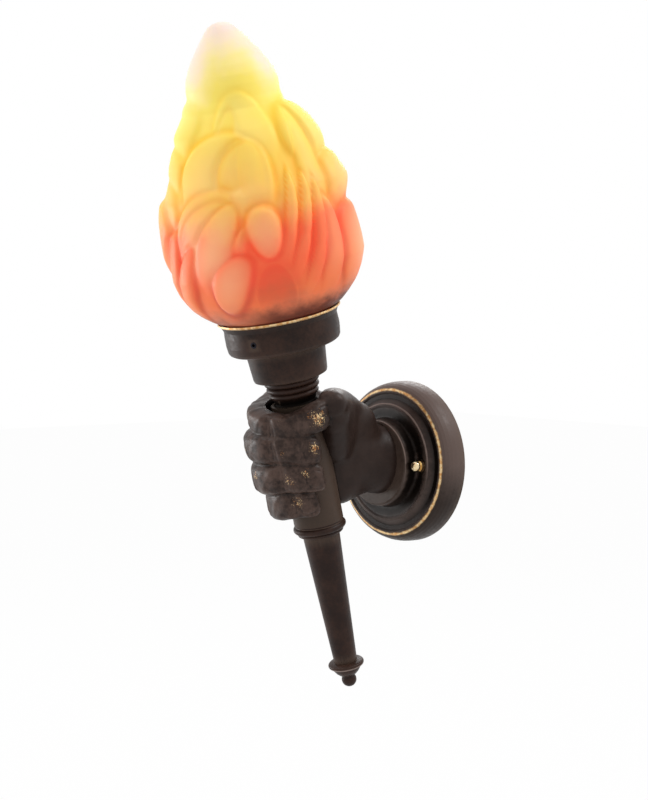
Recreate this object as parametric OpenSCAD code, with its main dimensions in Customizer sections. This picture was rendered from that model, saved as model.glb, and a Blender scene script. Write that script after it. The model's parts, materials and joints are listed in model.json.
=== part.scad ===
// Torch sconce: a wall plate carries a fist that grips a leaning torch, and the
// torch carries a lamp under a flame-shaped glass shade.
//
// Millimetres. The origin is the middle of the mounting bar's back face, on the
// wall. +Z is up, +X is to the right when facing the wall, and the sconce stands
// out from the wall towards -Y. Heights along the torch are measured from the
// point where the torch axis crosses the wrist's level, and grow upwards.

/* [Wall plate] */
// Radius of the plate where it meets the wall
plate_r = 55; // [53:0.5:60]
// Radius of the gilded edge round the plate's face
rim_r = 49; // [47.5:0.5:50]
// Distance of the gilded edge from the wall
rim_h = 17.4; // [16:0.2:19]
// Radius of the raised step on the face
step_r = 40; // [38.5:0.5:42]
// Distance of the step from the wall
step_h = 20.5; // [19.5:0.5:22]
// Radius of the boss that carries the wrist
boss_r = 29.3; // [28:0.1:29.8]
// Distance of the boss's face from the wall
boss_h = 30; // [27:0.5:34]
// Wall thickness of the plate casting
plate_wall = 3; // [2.5:0.1:3.6]

/* [Mounting bar] */
// Length of the bar
bar_l = 100; // [99:0.5:101]
// Width of the bar
bar_w = 16; // [14:0.5:18]
// Thickness of the bar
bar_t = 2; // [1.5:0.1:2.5]
// Distance between the two slots for the junction box screws
box_spacing = 88.9; // [88:0.1:89.5]
// Length of each slot, end to end
box_slot_l = 7; // [6:0.5:7.5]
// Width of each slot
box_slot_w = 4.6; // [4.2:0.1:5]
// Distance between the two studs that hold the plate
stud_spacing = 67; // [66:0.5:70]
// Diameter of the studs
stud_d = 4; // [3.5:0.1:4.4]
// Diameter of a cap nut's ball
cap_nut_d = 7; // [6:0.5:8]

/* [Hand] */
// Distance from the wall to the torch axis, at the wrist's level
reach = 90; // [86:1:96]
// Lean of the torch away from the wall, in degrees
tilt = 14.8; // [12:0.2:17]
// Radius of a finger at its middle knuckle
finger_r = 10.2; // [9.8:0.1:10.8]
// Height from one finger to the next
finger_pitch = 19.6; // [19:0.1:20.2]
// Radius of the thumb at its middle joint
thumb_r = 11; // [10:0.2:12]
// Width of the wrist where it meets the boss
wrist_w = 42; // [38:1:46]
// Height of the wrist where it meets the boss
wrist_t = 48; // [44:1:52]
// Diameter of the screws that hold the wrist
wrist_screw_d = 4; // [3:0.1:5]
// Radius of the circle that the wrist screws lie on
wrist_screw_pcd_r = 13; // [12:0.5:14.5]
// Radius of the wire channel through the wrist
channel_r = 4; // [3.6:0.1:4.5]

/* [Grip and handle] */
// Radius of the tube that the fist holds
grip_r = 16.5; // [15.5:0.1:17]
// Wall thickness of the grip tube
grip_wall = 2; // [1.5:0.1:2.5]
// Height of the grip tube's top end
grip_top = 45; // [43:0.5:46]
// Height of the grip tube's bottom end
grip_bottom = -36.4; // [-38:0.2:-35]
// Radius of the collar bead below the fist
collar_r = 17.6; // [17.2:0.1:18.5]
// Height of the collar ring
collar_len = 8.8; // [8:0.2:10]
// Radius of the handle's top
shaft_top_r = 12.35; // [11.5:0.05:13]
// Radius of the handle's bottom
shaft_bottom_r = 7.8; // [7.2:0.1:8.6]
// Length of the tapered handle
shaft_len = 91.1; // [80:1:105]
// Radius of the finial's flange
finial_r = 12.1; // [11.5:0.1:13]
// Length of the finial
finial_len = 18.7; // [17:0.1:21]
// Radius of the finial's ball
finial_ball_r = 5; // [4.5:0.1:5.5]
// Diameter of the tie rod inside the handle
tie_rod_d = 5; // [4:0.1:6]

/* [Neck and cups] */
// Radius of the neck's upper bead
neck_bead_r = 18.2; // [17.8:0.1:19]
// Height of the socket cup's underside
cup_bottom = 62.3; // [61:0.1:64]
// Radius of the socket cup near its bottom
cup_bottom_r = 24.3; // [23.5:0.1:25.2]
// Radius of the socket cup at its top
cup_top_r = 26; // [25.2:0.1:27]
// Height of the socket cup
cup_len = 20.5; // [19.5:0.5:22]
// Wall thickness of both cups
cup_wall = 2.2; // [1.8:0.1:2.5]
// Outer radius of the shade cup
gallery_r = 37.1; // [36.5:0.1:38]
// Height of the shade cup up to its lip
gallery_len = 22; // [21:0.5:24]
// Radius of the flared, gilded lip
lip_r = 40; // [39.4:0.1:41]
// Direction of the first set screw, in degrees from the front
set_screw_turn = 20; // [0:1:40]
// Diameter of the set screws
set_screw_d = 4; // [3:0.1:5]

/* [Lamp holder and lamp] */
// Diameter of the threaded lamp pipe
pipe_d = 10; // [9:0.1:10.4]
// Bore of the lamp pipe
pipe_bore = 7.2; // [7:0.1:7.6]
// Radius of the lamp holder's skirt
skirt_r = 19.6; // [19:0.1:20]
// Radius of the lamp cap's thread
lamp_thread_r = 13.2; // [13:0.05:13.4]
// Radius of the lamp's globe
globe_r = 22.5; // [20:0.5:24]
// Length of the lamp from its contact to the top of its globe
lamp_len = 77; // [74:1:80]

/* [Flame shade] */
// Radius of the shade's neck
shade_neck_r = 31.5; // [31:0.1:32]
// Thickness of the glass at the neck
glass_t = 3.2; // [2.8:0.1:3.5]
// Length of the shade from its neck to its tip
shade_len = 202.8; // [190:1:215]
// Largest radius of the shade, in the hollows between its flutes
shade_r = 57.8; // [55:0.2:60]
// Height of the carved lobes over the hollows
lobe_h = 5.5; // [2:0.5:7]
// How far the tip sways to one side
tip_lean = 2.6; // [0:0.2:4]

/* [Fits] */
// Gap between pieces that slide past each other
slide_gap = 0.3; // [0.2:0.05:0.4]
// Gap round a shaft or screw in its hole
fit_gap = 0.1; // [0.05:0.01:0.2]

/* [Hidden] */
$fn = 64;

// Finishes
bronze = "#3a2d28";
steel = "#9aa0a6";
brass = "#c9a227";

// Small parts
bar_gap = 0.8;
washer_t = 0.8;
washer_h = step_h - 0.5;
stud_nut_af = 7;
stud_nut_t = 3.2;
cap_base_r = cap_nut_d * 0.56;
washer_r = cap_base_r + 0.7;
cap_base_h = 1.8;
block_size = [30, 12, 15];
terminal_pitch = 9;
terminal_screw_r = 1.6;
lead_r = 1.1;
lead_spread = 1.6;
grommet_bore = lead_spread + lead_r + 0.4;
grommet_lip = 1.2;
pan_head_h = 2.4;
wrist_screw_len = 18;

// Heights along the torch axis
collar_bottom = grip_bottom - collar_len;
shaft_bottom = collar_bottom - shaft_len;
finial_flange_t = 2.6;
spigot_len = 14;
spigot_r = grip_r - grip_wall - fit_gap;
rod_washer_t = 1.2;
rod_washer_s = grip_bottom + spigot_len;
rod_nut_t = 4;
rod_top = rod_washer_s + rod_washer_t + rod_nut_t + 2;
rod_bottom = shaft_bottom - finial_flange_t - 5;
cup_floor_t = 2.4;
pipe_washer_s = cup_bottom + cup_floor_t;
pipe_washer_t = 1.2;
pipe_nut_s = pipe_washer_s + pipe_washer_t;
pipe_nut_t = 4;
pipe_nut_af = 14;
holder_s = pipe_nut_s + pipe_nut_t;
holder_cap_len = 12;
pipe_top = holder_s + 8;
pipe_bottom = grip_top - spigot_len + 1;
gallery_s = cup_bottom + cup_len;
gallery_floor_s = gallery_s + cup_wall;
lip_s = gallery_s + gallery_len;
skirt_s = holder_s + holder_cap_len;
skirt_wall = 2;
skirt_len = 30;
ring_r = 27;
ring_t = 3.6;
core_s = skirt_s + skirt_wall;
core_t = 6.4;
shell_s = core_s + core_t;
shell_wall = 0.6;
shell_r = lamp_thread_r + slide_gap + shell_wall;
contact_t = 0.5;
lamp_s = shell_s + 2.4;
lamp_contact_h = 4;
lamp_cap_len = 20;
seal_t = 1.8;
neck_s = gallery_floor_s + seal_t;
neck_len = 15;
screw_s = gallery_s + gallery_len * 0.44;
screw_tip_len = 1.2;
screw_in_r = shade_neck_r + slide_gap;
screw_hex = 2;

// Places things in the torch's own frame: z runs up the torch axis, -y is the
// side away from the wall
module on_torch() {
    translate([0, -reach, 0]) rotate([tilt, 0, 0]) children();
}

// The same place as a point: across, out from the axis, and height along it
function torch_point(x, front, s) =
    [x, -reach - front * cos(tilt) - s * sin(tilt), s * cos(tilt) - front * sin(tilt)];

// A point round the torch: angle from the front towards +X, radius and height
function round_torch(angle, r, s) = torch_point(r * sin(angle), r * cos(angle), s);

// A flat ring from height s up
module ring(r_out, r_in, s, h) {
    translate([0, 0, s]) difference() {
        cylinder(r = r_out, h = h);
        translate([0, 0, -1]) cylinder(r = r_in, h = h + 2);
    }
}

// A nut with its flats this far apart
module hex_nut(flats, bore_r, h) {
    difference() {
        cylinder(r = flats / sqrt(3), h = h, $fn = 6);
        translate([0, 0, -1]) cylinder(r = bore_r, h = h + 2);
    }
}

// Turns a shape that stands on z = 0 so that it stands on the wall
module from_wall(h = 0) {
    translate([0, -h, 0]) rotate([90, 0, 0]) children();
}

module at_studs() {
    for (side = [-1, 1]) translate([side * stud_spacing / 2, 0, 0]) children();
}

// ---- Wall plate and what hides behind it ----

// Outline of the plate's outside, radius against distance from the wall
function plate_outside() = concat(
    [[plate_r, 0]],
    [for (a = [0:15:75]) [rim_r + (plate_r - rim_r) * cos(a), rim_h * 0.2 + rim_h * 0.78 * sin(a)]],
    [[rim_r, rim_h], [rim_r - 1.4, rim_h + 0.3], [rim_r - 2.6, rim_h - 0.5]],
    [[step_r + 3.6, rim_h - 0.4], [step_r + 1.4, step_h - 1.6], [step_r, step_h], [step_r - 1.4, step_h + 0.3],
     [step_r - 2.8, step_h - 0.3], [boss_r + 1.4, step_h - 0.3], [boss_r + 0.7, step_h + 1.4],
     [boss_r, boss_h - 1.6], [boss_r - 0.6, boss_h - 0.5], [boss_r - 1.8, boss_h], [0, boss_h]]);

// Outline of its hollow
function plate_inside() = [
    [0, boss_h - plate_wall], [boss_r - plate_wall - 0.8, boss_h - plate_wall],
    [boss_r - plate_wall, step_h - plate_wall], [step_r - plate_wall, step_h - plate_wall - 0.4],
    [step_r - plate_wall + 2, rim_h - plate_wall - 0.6], [rim_r - plate_wall * 0.8, rim_h - plate_wall - 0.8],
    [plate_r - plate_wall - 0.7, rim_h * 0.45], [plate_r - plate_wall, 0]];

module wall_plate() color(bronze) difference() {
    from_wall() rotate_extrude() polygon(concat(plate_outside(), plate_inside()));
    at_studs() from_wall() cylinder(r = stud_d / 2 + 0.25, h = boss_h);
    at_studs() from_wall(washer_h) cylinder(r = washer_r + slide_gap, h = boss_h);
    from_wall() translate([-bar_l / 2 - bar_gap, -bar_w / 2 - bar_gap, -1])
        cube([bar_l + 2 * bar_gap, bar_w + 2 * bar_gap, bar_t + bar_gap + 1]);
    at_wrist_screws() from_wall() cylinder(r = wrist_screw_d / 2 + 0.25, h = boss_h + 1);
    from_wall() cylinder(r = grommet_bore + grommet_lip, h = boss_h + 1);
}

module mounting_bar() color(steel) from_wall() difference() {
    intersection() {
        translate([-bar_l / 2, -bar_w / 2, 0]) cube([bar_l, bar_w, bar_t]);
        cylinder(r = bar_l / 2, h = bar_t);
    }
    for (side = [-1, 1]) translate([side * box_spacing / 2, 0, -1]) {
        translate([-(box_slot_l - box_slot_w) / 2, -box_slot_w / 2, 0])
            cube([box_slot_l - box_slot_w, box_slot_w, bar_t + 2]);
        for (end = [-1, 1]) translate([end * (box_slot_l - box_slot_w) / 2, 0, 0])
            cylinder(r = box_slot_w / 2, h = bar_t + 2);
    }
    at_studs() translate([0, 0, -1]) cylinder(r = stud_d / 2 + fit_gap, h = bar_t + 2);
    translate([ground_x, 0, -1]) cylinder(r = ground_d / 2 + fit_gap, h = bar_t + 2);
    translate([0, 0, -1]) cylinder(r = block_screw_d / 2 + fit_gap, h = bar_t + 2);
}

ground_x = (block_size[0] + stud_spacing) / 4;
ground_d = 4;
block_screw_d = 3;

// Studs run from the bar's back face through the plate into the cap nuts
stud_len = step_h + washer_t + cap_base_h + cap_nut_d * 0.45;
module mounting_studs() color(steel) at_studs() from_wall() cylinder(r = stud_d / 2, h = stud_len);

module stud_nuts() color(steel) at_studs() from_wall(bar_t)
    hex_nut(stud_nut_af, stud_d / 2 + fit_gap, stud_nut_t);

module plate_washers() color("#2b2320") at_studs() from_wall(washer_h)
    ring(washer_r, stud_d / 2 + fit_gap, 0, washer_t);

module cap_nuts() color(brass) at_studs() from_wall(washer_h + washer_t) difference() {
    union() {
        cylinder(r = cap_base_r, h = cap_base_h);
        translate([0, 0, cap_base_h + cap_nut_d * 0.3]) sphere(r = cap_nut_d / 2);
    }
    translate([0, 0, -cap_nut_d]) cylinder(r = cap_nut_d, h = cap_nut_d);
    translate([0, 0, -1])
        cylinder(r = stud_d / 2 + fit_gap, h = stud_len - washer_h - washer_t + 1 + fit_gap);
}

// A pan head screw, its head up to z = 0 and its shank below
module pan_screw(d, shank, head_h = pan_head_h) {
    difference() {
        translate([0, 0, -head_h]) cylinder(r = d * 0.95, h = head_h);
        translate([-d, -0.4, -0.9]) cube([2 * d, 0.8, 2]);
    }
    translate([0, 0, -head_h - shank]) cylinder(r = d / 2, h = shank + 0.2);
}

module ground_screw() color("#4f9a4a") translate([ground_x, 0, 0])
    from_wall(bar_t + pan_head_h) pan_screw(ground_d, bar_t);

module terminal_block() color("#e9e6dc") from_wall(bar_t) difference() {
    translate([-block_size[0] / 2, -block_size[2] / 2, 0])
        cube([block_size[0], block_size[2], block_size[1]]);
    translate([0, 0, -1]) cylinder(r = block_screw_d / 2 + fit_gap, h = block_size[1] + 2);
    translate([0, 0, block_size[1] - pan_head_h]) cylinder(r = block_screw_d, h = pan_head_h + 1);
    for (i = [-1, 1]) translate([i * terminal_pitch, 0, 0]) {
        translate([0, 0, block_size[1] / 2]) rotate([90, 0, 0])
            cylinder(r = lead_r + 0.4, h = block_size[2] + 2, center = true);
        translate([0, 0, block_size[1] / 2 + lead_r + 0.2])
            cylinder(r = terminal_screw_r + fit_gap, h = block_size[1]);
    }
}

module block_screw() color(steel) from_wall(bar_t + block_size[1])
    pan_screw(block_screw_d, block_size[1] + bar_t - pan_head_h);

module terminal_clamps() color(brass) for (i = [-1, 1]) translate([i * terminal_pitch, 0, 0])
    from_wall(bar_t + block_size[1]) difference() {
        translate([0, 0, -block_size[1] / 2 + lead_r + 0.3])
            cylinder(r = terminal_screw_r, h = block_size[1] / 2 - lead_r - 0.5);
        translate([-3, -0.3, -1]) cube([6, 0.6, 2]);
    }

// ---- Wires ----

function unit(v) = v / norm(v);

// Points of a smooth curve through the route's own points
function curve_point(a, b, c, d, t) =
    (2 * b + (c - a) * t + (2 * a - 5 * b + 4 * c - d) * t * t + (3 * b - a - 3 * c + d) * t * t * t) / 2;
function smooth_route(p, steps) = [for (i = [0:len(p) - 2], k = [0:steps - 1])
    curve_point(p[max(i - 1, 0)], p[i], p[i + 1], p[min(i + 2, len(p) - 1)], k / steps), p[len(p) - 1]];

// A round wire swept along a route, as one closed solid. Each ring's first
// point leans towards +X, which no stretch of these routes runs along.
module wire(route, r, sides = 8) {
    n = len(route);
    along = [for (i = [0:n - 1]) unit(route[min(i + 1, n - 1)] - route[max(i - 1, 0)])];
    points = [for (i = [0:n - 1]) let (t = along[i], u = unit([1, 0, 0] - t * t[0]), v = cross(t, u))
        for (k = [0:sides - 1]) route[i] + r * (u * cos(360 * k / sides) + v * sin(360 * k / sides))];
    skin = [for (i = [0:n - 2], k = [0:sides - 1]) let (a = i * sides + k, b = i * sides + (k + 1) % sides)
        each [[a, a + sides, b], [b, a + sides, b + sides]]];
    polyhedron(points, concat(skin, [[for (k = [0:sides - 1]) k]],
        [[for (k = [sides - 1:-1:0]) (n - 1) * sides + k]]));
}

// The lamp leads run from the terminal block over to the wrist, through the
// fist into the grip tube, and up the lamp pipe to the lamp holder
function lamp_lead_route(side) = [
    [side * terminal_pitch, -bar_t - block_size[1] / 2, block_size[2] / 2 - 3],
    [side * terminal_pitch, -bar_t - block_size[1] / 2, block_size[2] / 2 + 1],
    [side * (terminal_pitch - 1), -bar_t - block_size[1] / 2 - 3, block_size[2] / 2 + 4],
    [side * 5, -boss_h + 12, block_size[2] / 2 + 1.5],
    [side * 2.4, -boss_h + 8, 2.6],
    [side * lead_spread, -boss_h + 3, 0],
    [side * lead_spread, -boss_h - 6, 0],
    [side * lead_spread, -boss_h - 24, 0],
    [side * lead_spread, -reach + 16, 0.6],
    torch_point(side * lead_spread, -5, 7),
    torch_point(side * lead_spread, 0, 17),
    torch_point(side * lead_spread, 0, 30),
    torch_point(side * lead_spread, 0, 50),
    torch_point(side * lead_spread, 0, pipe_top - 2),
    torch_point(side * 3.6, 0, pipe_top + 1.6),
    torch_point(side * holder_wire_x, 0, core_s - 1),
    torch_point(side * holder_wire_x, 0, core_s + 2)];
holder_wire_x = 9.5;

module line_lead() color("#262626") wire(smooth_route(lamp_lead_route(1), 2), lead_r);
module neutral_lead() color("#efefef") wire(smooth_route(lamp_lead_route(-1), 2), lead_r);

// A short bond from the ground screw into the back of the plate
ground_route = [
    [ground_x, -bar_t - pan_head_h - lead_r - 0.1, -1.5],
    [ground_x, -bar_t - pan_head_h - lead_r - 0.1, 5],
    [ground_x - 1.5, -bar_t - pan_head_h - 3, 14],
    [ground_x - 4, -step_h + plate_wall + 4, 20],
    [ground_x - 5, -step_h + plate_wall + lead_r + 0.8, 24.5]];
module ground_lead() color("#3f8f3f") wire(smooth_route(ground_route, 3), lead_r);

module wire_grommet() color("#1d1d1d") from_wall() {
    ring(grommet_bore + grommet_lip - fit_gap, grommet_bore, boss_h - plate_wall - grommet_lip,
        plate_wall + grommet_lip);
    ring(grommet_bore + grommet_lip + 1.5, grommet_bore, boss_h - plate_wall - grommet_lip, grommet_lip);
}

// ---- Fist ----

wrist_level = 3;
hand_room = 60;
module at_wrist_screws() {
    for (a = [90, 210, 330])
        translate([wrist_screw_pcd_r * cos(a), 0, wrist_screw_pcd_r * sin(a)]) children();
}

module wrist_screws() color(steel) at_wrist_screws()
    translate([0, -boss_h + plate_wall + pan_head_h, 0]) rotate([-90, 0, 0])
        pan_screw(wrist_screw_d, wrist_screw_len);

// A smooth limb through balls: each stretch is the hull of two neighbours
module limb(balls) {
    for (i = [0:len(balls) - 2]) hull() {
        ball(balls[i]);
        ball(balls[i + 1]);
    }
}
module ball(b) { translate(b[0]) sphere(r = b[1], $fn = 28); }

// A finger from its knuckle round the grip: angles of the four joints, how far
// the middle knuckle stands out, and the finger's height and thickness
module finger(turns, knuckle_out, s, r) {
    near = grip_r + 0.9;
    limb([[round_torch(turns[0], grip_r + 13, s + 1.5), r * 1.06],
          [round_torch(turns[1], knuckle_out - r, s + 1), r],
          [round_torch(turns[2], near + r * 0.9, s - 1), r * 0.9],
          [round_torch(turns[3], near + r * 0.72, s - 1.6), r * 0.8]]);
}

module fingers() {
    s0 = finger_pitch * 1.05;
    finger([-112, -34, 35, 86], 34.4, s0 + finger_pitch, finger_r * 0.98);
    finger([-112, -38, 20, 60], 38.4, s0, finger_r);
    finger([-110, -38, 17, 58], 37.6, s0 - finger_pitch, finger_r * 0.98);
    finger([-108, -38, 6, 44], 31.5, s0 - finger_pitch * 1.95, finger_r * 0.88);
}

module thumb() {
    limb([[[-3, -boss_h - 15, 19], 19], [[3, -reach + 31, 36], 14], [[14, -reach + 14, 41.5], thumb_r],
          [round_torch(113, grip_r + 9.6, 41.5), thumb_r * 0.86]]);
}

module palm() {
    hull() {
        ball([round_torch(-112, grip_r + 13, finger_pitch * 2.05), finger_r * 1.1]);
        ball([round_torch(-110, grip_r + 13, -finger_pitch * 0.85), finger_r]);
        ball([[-4, -reach + 34, 27], 19]);
        ball([[-4, -reach + 32, -4], 19]);
        ball([[-3, -boss_h - 15, 19], 19]);
    }
    hull() {
        ball([[-1, -reach + 22, 27], 13]);
        ball([[1, -reach + 20, -12], 11.5]);
        ball([[-2, -reach + 36, -6], 17]);
        ball([[-2, -boss_h - 14, 17], 18]);
    }
}

module wrist() hull() {
    translate([0, -boss_h, wrist_level]) scale([wrist_w / wrist_t, 1, 1]) rotate([90, 0, 0])
        cylinder(r = wrist_t / 2, h = 4, $fn = 48);
    ball([[-3, -boss_h - 16, 18], 20]);
    ball([[-3, -boss_h - 19, -2], 20]);
}

module hand() color(bronze) difference() {
    union() {
        fingers();
        thumb();
        palm();
        wrist();
    }
    on_torch() translate([0, 0, -hand_room]) cylinder(r = grip_r + slide_gap, h = 2 * hand_room, $fn = 72);
    on_torch() translate([0, 0, grip_top - 1.5]) cylinder(r = neck_bead_r + 2.5, h = hand_room, $fn = 56);
    translate([0, 1, 0]) rotate([90, 0, 0]) cylinder(r = channel_r, h = reach, $fn = 32);
    at_wrist_screws() rotate([90, 0, 0])
        cylinder(r = wrist_screw_d / 2 + fit_gap, h = boss_h - plate_wall + wrist_screw_len + 1, $fn = 32);
    translate([-hand_room, -boss_h, -hand_room]) cube([2 * hand_room, boss_h, 2 * hand_room]);
}

// ---- Grip, handle and finial ----

module grip_tube() color(bronze) difference() {
    on_torch() ring(grip_r, grip_r - grip_wall, grip_bottom, grip_top - grip_bottom);
    from_wall() cylinder(r = channel_r, h = reach);
}

module collar_ring() color(bronze) on_torch() difference() {
    rotate_extrude() union() {
        polygon([[0, rod_washer_s], [spigot_r, rod_washer_s], [spigot_r, grip_bottom],
            [grip_r, grip_bottom], [grip_r, grip_bottom - 3.6], [shaft_top_r + 1.9, collar_bottom + 3],
            [shaft_top_r + 1.5, collar_bottom], [0, collar_bottom]]);
        translate([collar_r - 1.8, grip_bottom - 1.8]) circle(r = 1.8);
        translate([shaft_top_r + 1.1, collar_bottom + 1.6]) circle(r = 1.6);
    }
    translate([0, 0, collar_bottom - 1])
        cylinder(r = tie_rod_d / 2 + fit_gap, h = collar_len + spigot_len + 2);
}

module handle_shaft() color(bronze) on_torch() difference() {
    translate([0, 0, shaft_bottom])
        cylinder(r1 = shaft_bottom_r, r2 = shaft_top_r, h = shaft_len);
    translate([0, 0, shaft_bottom - 1]) cylinder(r = tie_rod_d / 2 + fit_gap, h = shaft_len + 2);
}

finial_neck_r = finial_ball_r * 0.92;
module finial() color(bronze) on_torch() difference() {
    translate([0, 0, shaft_bottom]) rotate_extrude() union() {
        polygon([[0, 0], [shaft_bottom_r + 0.6, 0], [finial_r - 1.2, -0.9], [finial_r, -1.6],
            [finial_r, -finial_flange_t], [finial_r - 1.4, -finial_flange_t - 1],
            [shaft_bottom_r + 1, -finial_flange_t - 3.6], [finial_neck_r + 1.4, -finial_len + 8.2],
            [finial_neck_r, -finial_len + 7], [finial_neck_r, -finial_len + finial_ball_r],
            [0, -finial_len + finial_ball_r]]);
        intersection() {
            translate([0, -finial_len + finial_ball_r]) circle(r = finial_ball_r);
            translate([0, -finial_len]) square([finial_ball_r, 2 * finial_ball_r]);
        }
    }
    translate([0, 0, rod_bottom]) cylinder(r = tie_rod_d / 2 + fit_gap, h = shaft_bottom - rod_bottom + 1);
}

module tie_rod() color(steel) on_torch()
    translate([0, 0, rod_bottom]) cylinder(r = tie_rod_d / 2, h = rod_top - rod_bottom);

module rod_washer() color(steel) on_torch()
    ring(spigot_r - 3, tie_rod_d / 2 + fit_gap, rod_washer_s, rod_washer_t);

module rod_nut() color(steel) on_torch() translate([0, 0, rod_washer_s + rod_washer_t])
    hex_nut(tie_rod_d * 1.6, tie_rod_d / 2 + fit_gap, rod_nut_t);

// ---- Neck, cups and their fastenings ----

bead_h = 4.6;
flare_r = grip_r + 2.6;
module torch_neck() color(bronze) on_torch() difference() {
    rotate_extrude() union() {
        polygon([[0, grip_top - spigot_len], [spigot_r, grip_top - spigot_len], [spigot_r, grip_top],
            [flare_r - 0.6, grip_top], [flare_r, grip_top + 0.7], [flare_r - 0.6, grip_top + 1.9],
            [grip_r + 0.3, grip_top + 4], [grip_r - 0.2, cup_bottom], [0, cup_bottom]]);
        translate([neck_bead_r - bead_h / 2, cup_bottom - 4.9]) circle(r = bead_h / 2);
        translate([neck_bead_r - 0.8 - bead_h * 0.4, cup_bottom - 9.8]) circle(r = bead_h * 0.4);
    }
    translate([0, 0, grip_top - spigot_len - 1])
        cylinder(r = pipe_d / 2 + fit_gap, h = spigot_len + cup_bottom - grip_top + 2);
}

module lamp_pipe() color(brass) on_torch()
    ring(pipe_d / 2, pipe_bore / 2, pipe_bottom, pipe_top - pipe_bottom);

module pipe_washer() color(steel) on_torch()
    ring(pipe_d, pipe_d / 2 + fit_gap, pipe_washer_s, pipe_washer_t);

module pipe_nut() color(brass) on_torch() translate([0, 0, pipe_nut_s])
    hex_nut(pipe_nut_af, pipe_d / 2 + fit_gap, pipe_nut_t);

module socket_cup() color(bronze) on_torch() rotate_extrude() polygon([
    [pipe_d / 2 + fit_gap, cup_bottom], [cup_bottom_r - 1.8, cup_bottom],
    [cup_bottom_r - 0.5, cup_bottom + 0.6], [cup_bottom_r, cup_bottom + 2],
    [cup_top_r, gallery_s], [cup_top_r - cup_wall, gallery_s],
    [cup_bottom_r - cup_wall, pipe_washer_s + 0.8], [cup_bottom_r - cup_wall - 0.8, pipe_washer_s],
    [pipe_d / 2 + fit_gap, pipe_washer_s]]);

// Straight out from the torch axis through set screw number i, from radius r
module at_set_screw(i, r) on_torch() rotate([0, 0, set_screw_turn + 120 * (i - 1)])
    translate([0, -r, screw_s]) rotate([90, 0, 0]) children();

gallery_in_r = gallery_r - cup_wall;
module gallery() color(bronze) difference() {
    on_torch() rotate_extrude() polygon([
        [skirt_r + slide_gap, gallery_s], [gallery_r - 2.7, gallery_s], [gallery_r - 1.3, gallery_s + 0.9],
        [gallery_r - 0.5, gallery_s + 2.4], [gallery_r, screw_s - set_screw_d * 0.8],
        [gallery_r, screw_s + set_screw_d * 0.8], [gallery_r - 0.3, lip_s - 5.4],
        [lip_r - 1.7, lip_s - 2.2], [lip_r, lip_s - 0.9], [lip_r - 0.2, lip_s], [lip_r - 1.2, lip_s],
        [gallery_in_r + 1.4, lip_s - 2.4], [gallery_in_r, lip_s - 4.8], [gallery_in_r, gallery_floor_s + 1.2],
        [gallery_in_r - 1.2, gallery_floor_s], [skirt_r + slide_gap, gallery_floor_s]]);
    for (i = [1:3]) at_set_screw(i, gallery_in_r - 2) cylinder(r = set_screw_d / 2 + fit_gap, h = 8);
}

module shade_seal() color("#d9cdb8") on_torch()
    ring(shade_neck_r + 0.4, shade_neck_r - glass_t - 0.3, gallery_floor_s, seal_t);

screw_len = gallery_r - screw_in_r - screw_tip_len + 0.1;
module set_screw(i) color("#6a5a48") at_set_screw(i, screw_in_r + screw_tip_len) difference() {
    cylinder(r = set_screw_d / 2, h = screw_len);
    translate([0, 0, screw_len - 2]) cylinder(r = screw_hex / sqrt(3), h = 3, $fn = 6);
}
module screw_tip(i) color("#e8e8e8") at_set_screw(i, screw_in_r)
    cylinder(r = set_screw_d / 2 - 0.6, h = screw_tip_len);

module set_screw_1() { set_screw(1); }
module set_screw_2() { set_screw(2); }
module set_screw_3() { set_screw(3); }
module screw_tip_1() { screw_tip(1); }
module screw_tip_2() { screw_tip(2); }
module screw_tip_3() { screw_tip(3); }

// ---- Lamp holder ----

holder_cap_r = skirt_r - 1.4;
module holder_cap() color("#26221f") on_torch() difference() {
    translate([0, 0, holder_s]) rotate_extrude() polygon([
        [pipe_d / 2 + fit_gap, 0], [holder_cap_r - 6, 0], [holder_cap_r - 2, 1.6], [holder_cap_r, 5],
        [holder_cap_r, holder_cap_len], [holder_cap_r - 1.8, holder_cap_len], [holder_cap_r - 1.8, 5.6],
        [holder_cap_r - 3.2, 3.2], [holder_cap_r - 6.4, 2.2], [pipe_d / 2 + 2.4, 2.2],
        [pipe_d / 2 + 2.4, 7], [pipe_d / 2 + fit_gap, 7]]);
}

module holder_skirt() color("#26221f") on_torch() translate([0, 0, skirt_s]) rotate_extrude() polygon([
    [holder_cap_r - 1.8, 0], [skirt_r, 0], [skirt_r, skirt_len - 0.6], [skirt_r - 0.6, skirt_len],
    [skirt_r - skirt_wall, skirt_len], [skirt_r - skirt_wall, skirt_wall], [holder_cap_r - 1.8, skirt_wall]]);

module holder_core() color("#efece4") on_torch() difference() {
    translate([0, 0, core_s]) cylinder(r = skirt_r - skirt_wall - slide_gap, h = core_t);
    for (side = [-1, 1]) {
        translate([side * holder_wire_x, 0, core_s - 1]) cylinder(r = lead_r + 0.3, h = core_t - 1.6);
        translate([side * holder_wire_x, -5.5, core_s - 1]) cylinder(r = 1.5 + fit_gap, h = core_t - 1.2);
    }
    translate([0, 0, core_s - 1]) cylinder(r = 1.2 + fit_gap, h = core_t + 2);
}

module holder_terminals() color(brass) on_torch() for (side = [-1, 1])
    translate([side * holder_wire_x, -5.5, core_s - 1.4]) difference() {
        union() {
            cylinder(r = 1.5, h = core_t - 1.2);
            cylinder(r = 2.4, h = 1.4);
        }
        translate([-3, -0.3, -1]) cube([6, 0.6, 1.7]);
    }

module screw_shell() color(brass) on_torch() {
    ring(shell_r, shell_r - shell_wall, shell_s, skirt_len - skirt_wall - core_t - 2);
    ring(shell_r, 8.5, shell_s, shell_wall);
}

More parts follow.
